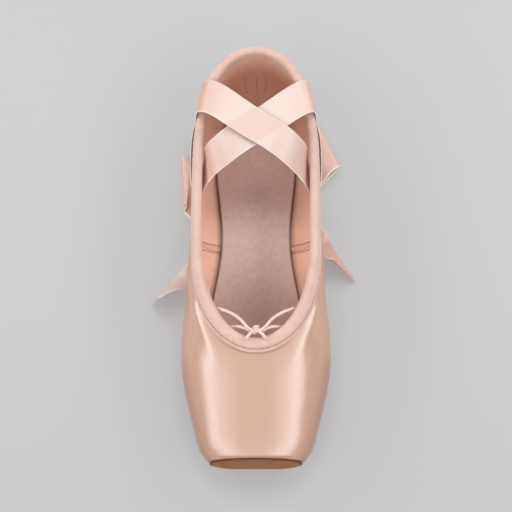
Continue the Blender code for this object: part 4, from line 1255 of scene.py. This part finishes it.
# %% Bow loops and tails
# Name, rows, the node it stands for, how it is held, and how much painted shade makes it pinker.
bow = (
    ("loop_left", LOOP_LEFT_ROWS, "bow_loop_left", "folded", 0.7),
    ("loop_right", LOOP_RIGHT_ROWS, "bow_loop_right", "folded", 0.8),
    ("tail_left", TAIL_LEFT_ROWS, "bow_tail_left", "laid", 0.3),
    ("tail_right", TAIL_RIGHT_ROWS, "bow_tail_right", "laid", 1.0),
)
for name, rows, replaces, held, pink in bow:
    points, spread = ribbon_grid(rows)
    points = gathered(kept_over(points, clear), spread, height=0.35 * MM)
    points[..., 2] = np.maximum(points[..., 2], RIBBON_CLOTH / 2 + 0.15 * MM)
    ribbon(name, points, replaces, pink)

# %% The bow's knot
KNOT_SIZE = np.array([17.0, 14.0, 4.4]) * MM
KNOT_PLACE = 0.108
# Round the knot in y and z: a rounded box, |y|^4 + |z|^4 = 1. Along x its size is drawn in at both ends.
turn = np.linspace(0, 2 * math.pi, 73)
ring = np.stack([np.sign(np.cos(turn)) * np.abs(np.cos(turn)) ** 0.5, np.sign(np.sin(turn)) * np.abs(np.sin(turn)) ** 0.5])
across_knot = np.array([-1, -1, -0.97, *np.linspace(-0.92, 0.92, 31), 0.97, 1, 1])
drawn = np.clip(1 - np.abs(across_knot) ** 10 * 0.45, 0, 1)
drawn[[0, -1]] = 0.0
drawn -= 0.035 * (1 - np.abs(np.cos(4.5 * math.pi * across_knot / 2))) * (drawn > 0)
knot = np.stack(np.broadcast_arrays(
    across_knot[:, None] * KNOT_SIZE[0] / 2 + 0.4 * MM * np.sin(turn * 2),
    KNOT_PLACE * SHOE_LENGTH + drawn[:, None] * ring[0] * KNOT_SIZE[1] / 2,
    GAP + KNOT_SIZE[2] / 2 + drawn[:, None] * ring[1] * KNOT_SIZE[2] / 2,
), axis=-1)
knot[[0, -1]] = knot[[0, -1]].mean(axis=1, keepdims=True)
make("bow_wrap", [patch(knot, flip=True)], RIBBON_SATIN, ["bow_knot"])

# %% [markdown]
# ## Floor and light
#
# The shoe stands on a pale sweep under soft studio light. Two long softboxes, one on each side,
# give the two bands down the vamp. Three broad keys light it from the front, and one fill from behind and
# above reaches the sock. The sweep glows a little, so that the shadow on it stays faint.

# %% Floor
FLOOR_SIZE = 6.0
floor_material, tree, shader = cloth_finish("pale studio paper", Roughness=0.32, Specular_IOR_Level=0.25)
shader.inputs["Base Color"].default_value = linear("#909090")
shader.inputs["Emission Color"].default_value = linear("#8b8b8b")
shader.inputs["Emission Strength"].default_value = 1.0
grain = node(tree, "ShaderNodeTexNoise", None, {
    "Vector": node(tree, "ShaderNodeTexCoord").outputs["Object"],
    "Scale": 900.0,
})
bump = node(tree, "ShaderNodeBump", None, {"Strength": 0.03, "Distance": 0.0001, "Height": grain.outputs["Fac"]})
tree.links.new(bump.outputs["Normal"], shader.inputs["Normal"])
half = FLOOR_SIZE / 2
corners = np.array([[(-half, -half, 0.0), (half, -half, 0.0)], [(-half, half, 0.0), (half, half, 0.0)]])
floor_mesh = bpy.data.meshes.new("floor")
floor_mesh.from_pydata(corners.reshape(-1, 3).tolist(), [], [(0, 1, 3, 2)])
floor_mesh.materials.append(floor_material)
floor = bpy.data.objects.new("floor", floor_mesh)
bpy.context.scene.collection.objects.link(floor)

# %% Lights
world = bpy.data.worlds.new("grey studio")
world.use_nodes = True
world.node_tree.nodes["Background"].inputs["Color"].default_value = linear("#f2f2f4")
world.node_tree.nodes["Background"].inputs["Strength"].default_value = 0.22
bpy.context.scene.world = world


def softbox(name, direction, distance, size, power):
    """A rectangular lamp that looks at the shoe's middle from a direction, its long side along the shoe."""
    lamp = bpy.data.objects.new(name, bpy.data.lights.new(name, "AREA"))
    lamp.data.shape = "RECTANGLE"
    lamp.data.size, lamp.data.size_y = size
    lamp.data.energy = power
    towards = unit(np.array(direction, float))
    side = unit(np.cross((0.0, 1.0, 0.0), towards))
    long = np.cross(towards, side)
    place = towards * distance + (0, 0, 0.03)
    lamp.matrix_world = Matrix([*np.stack([side, long, towards, place], axis=1).tolist(), (0.0, 0.0, 0.0, 1.0)])
    bpy.context.scene.collection.objects.link(lamp)
    return lamp


softbox("left strip", (-0.80, 0.20, 0.50), 0.9, (0.32, 1.6), 5.6)
softbox("right strip", (0.72, 0.20, 0.60), 0.9, (0.30, 1.6), 5.3)
softbox("left key", (-0.50, -0.60, 0.72), 2.2, (0.9, 0.9), 8.0)
softbox("right key", (0.46, -0.60, 0.72), 2.2, (0.9, 0.9), 8.0)
softbox("front key", (0.0, -0.66, 0.75), 2.2, (1.4, 1.4), 5.0)
softbox("top fill", (0.0, 0.46, 0.89), 2.2, (1.6, 1.2), 14.0)
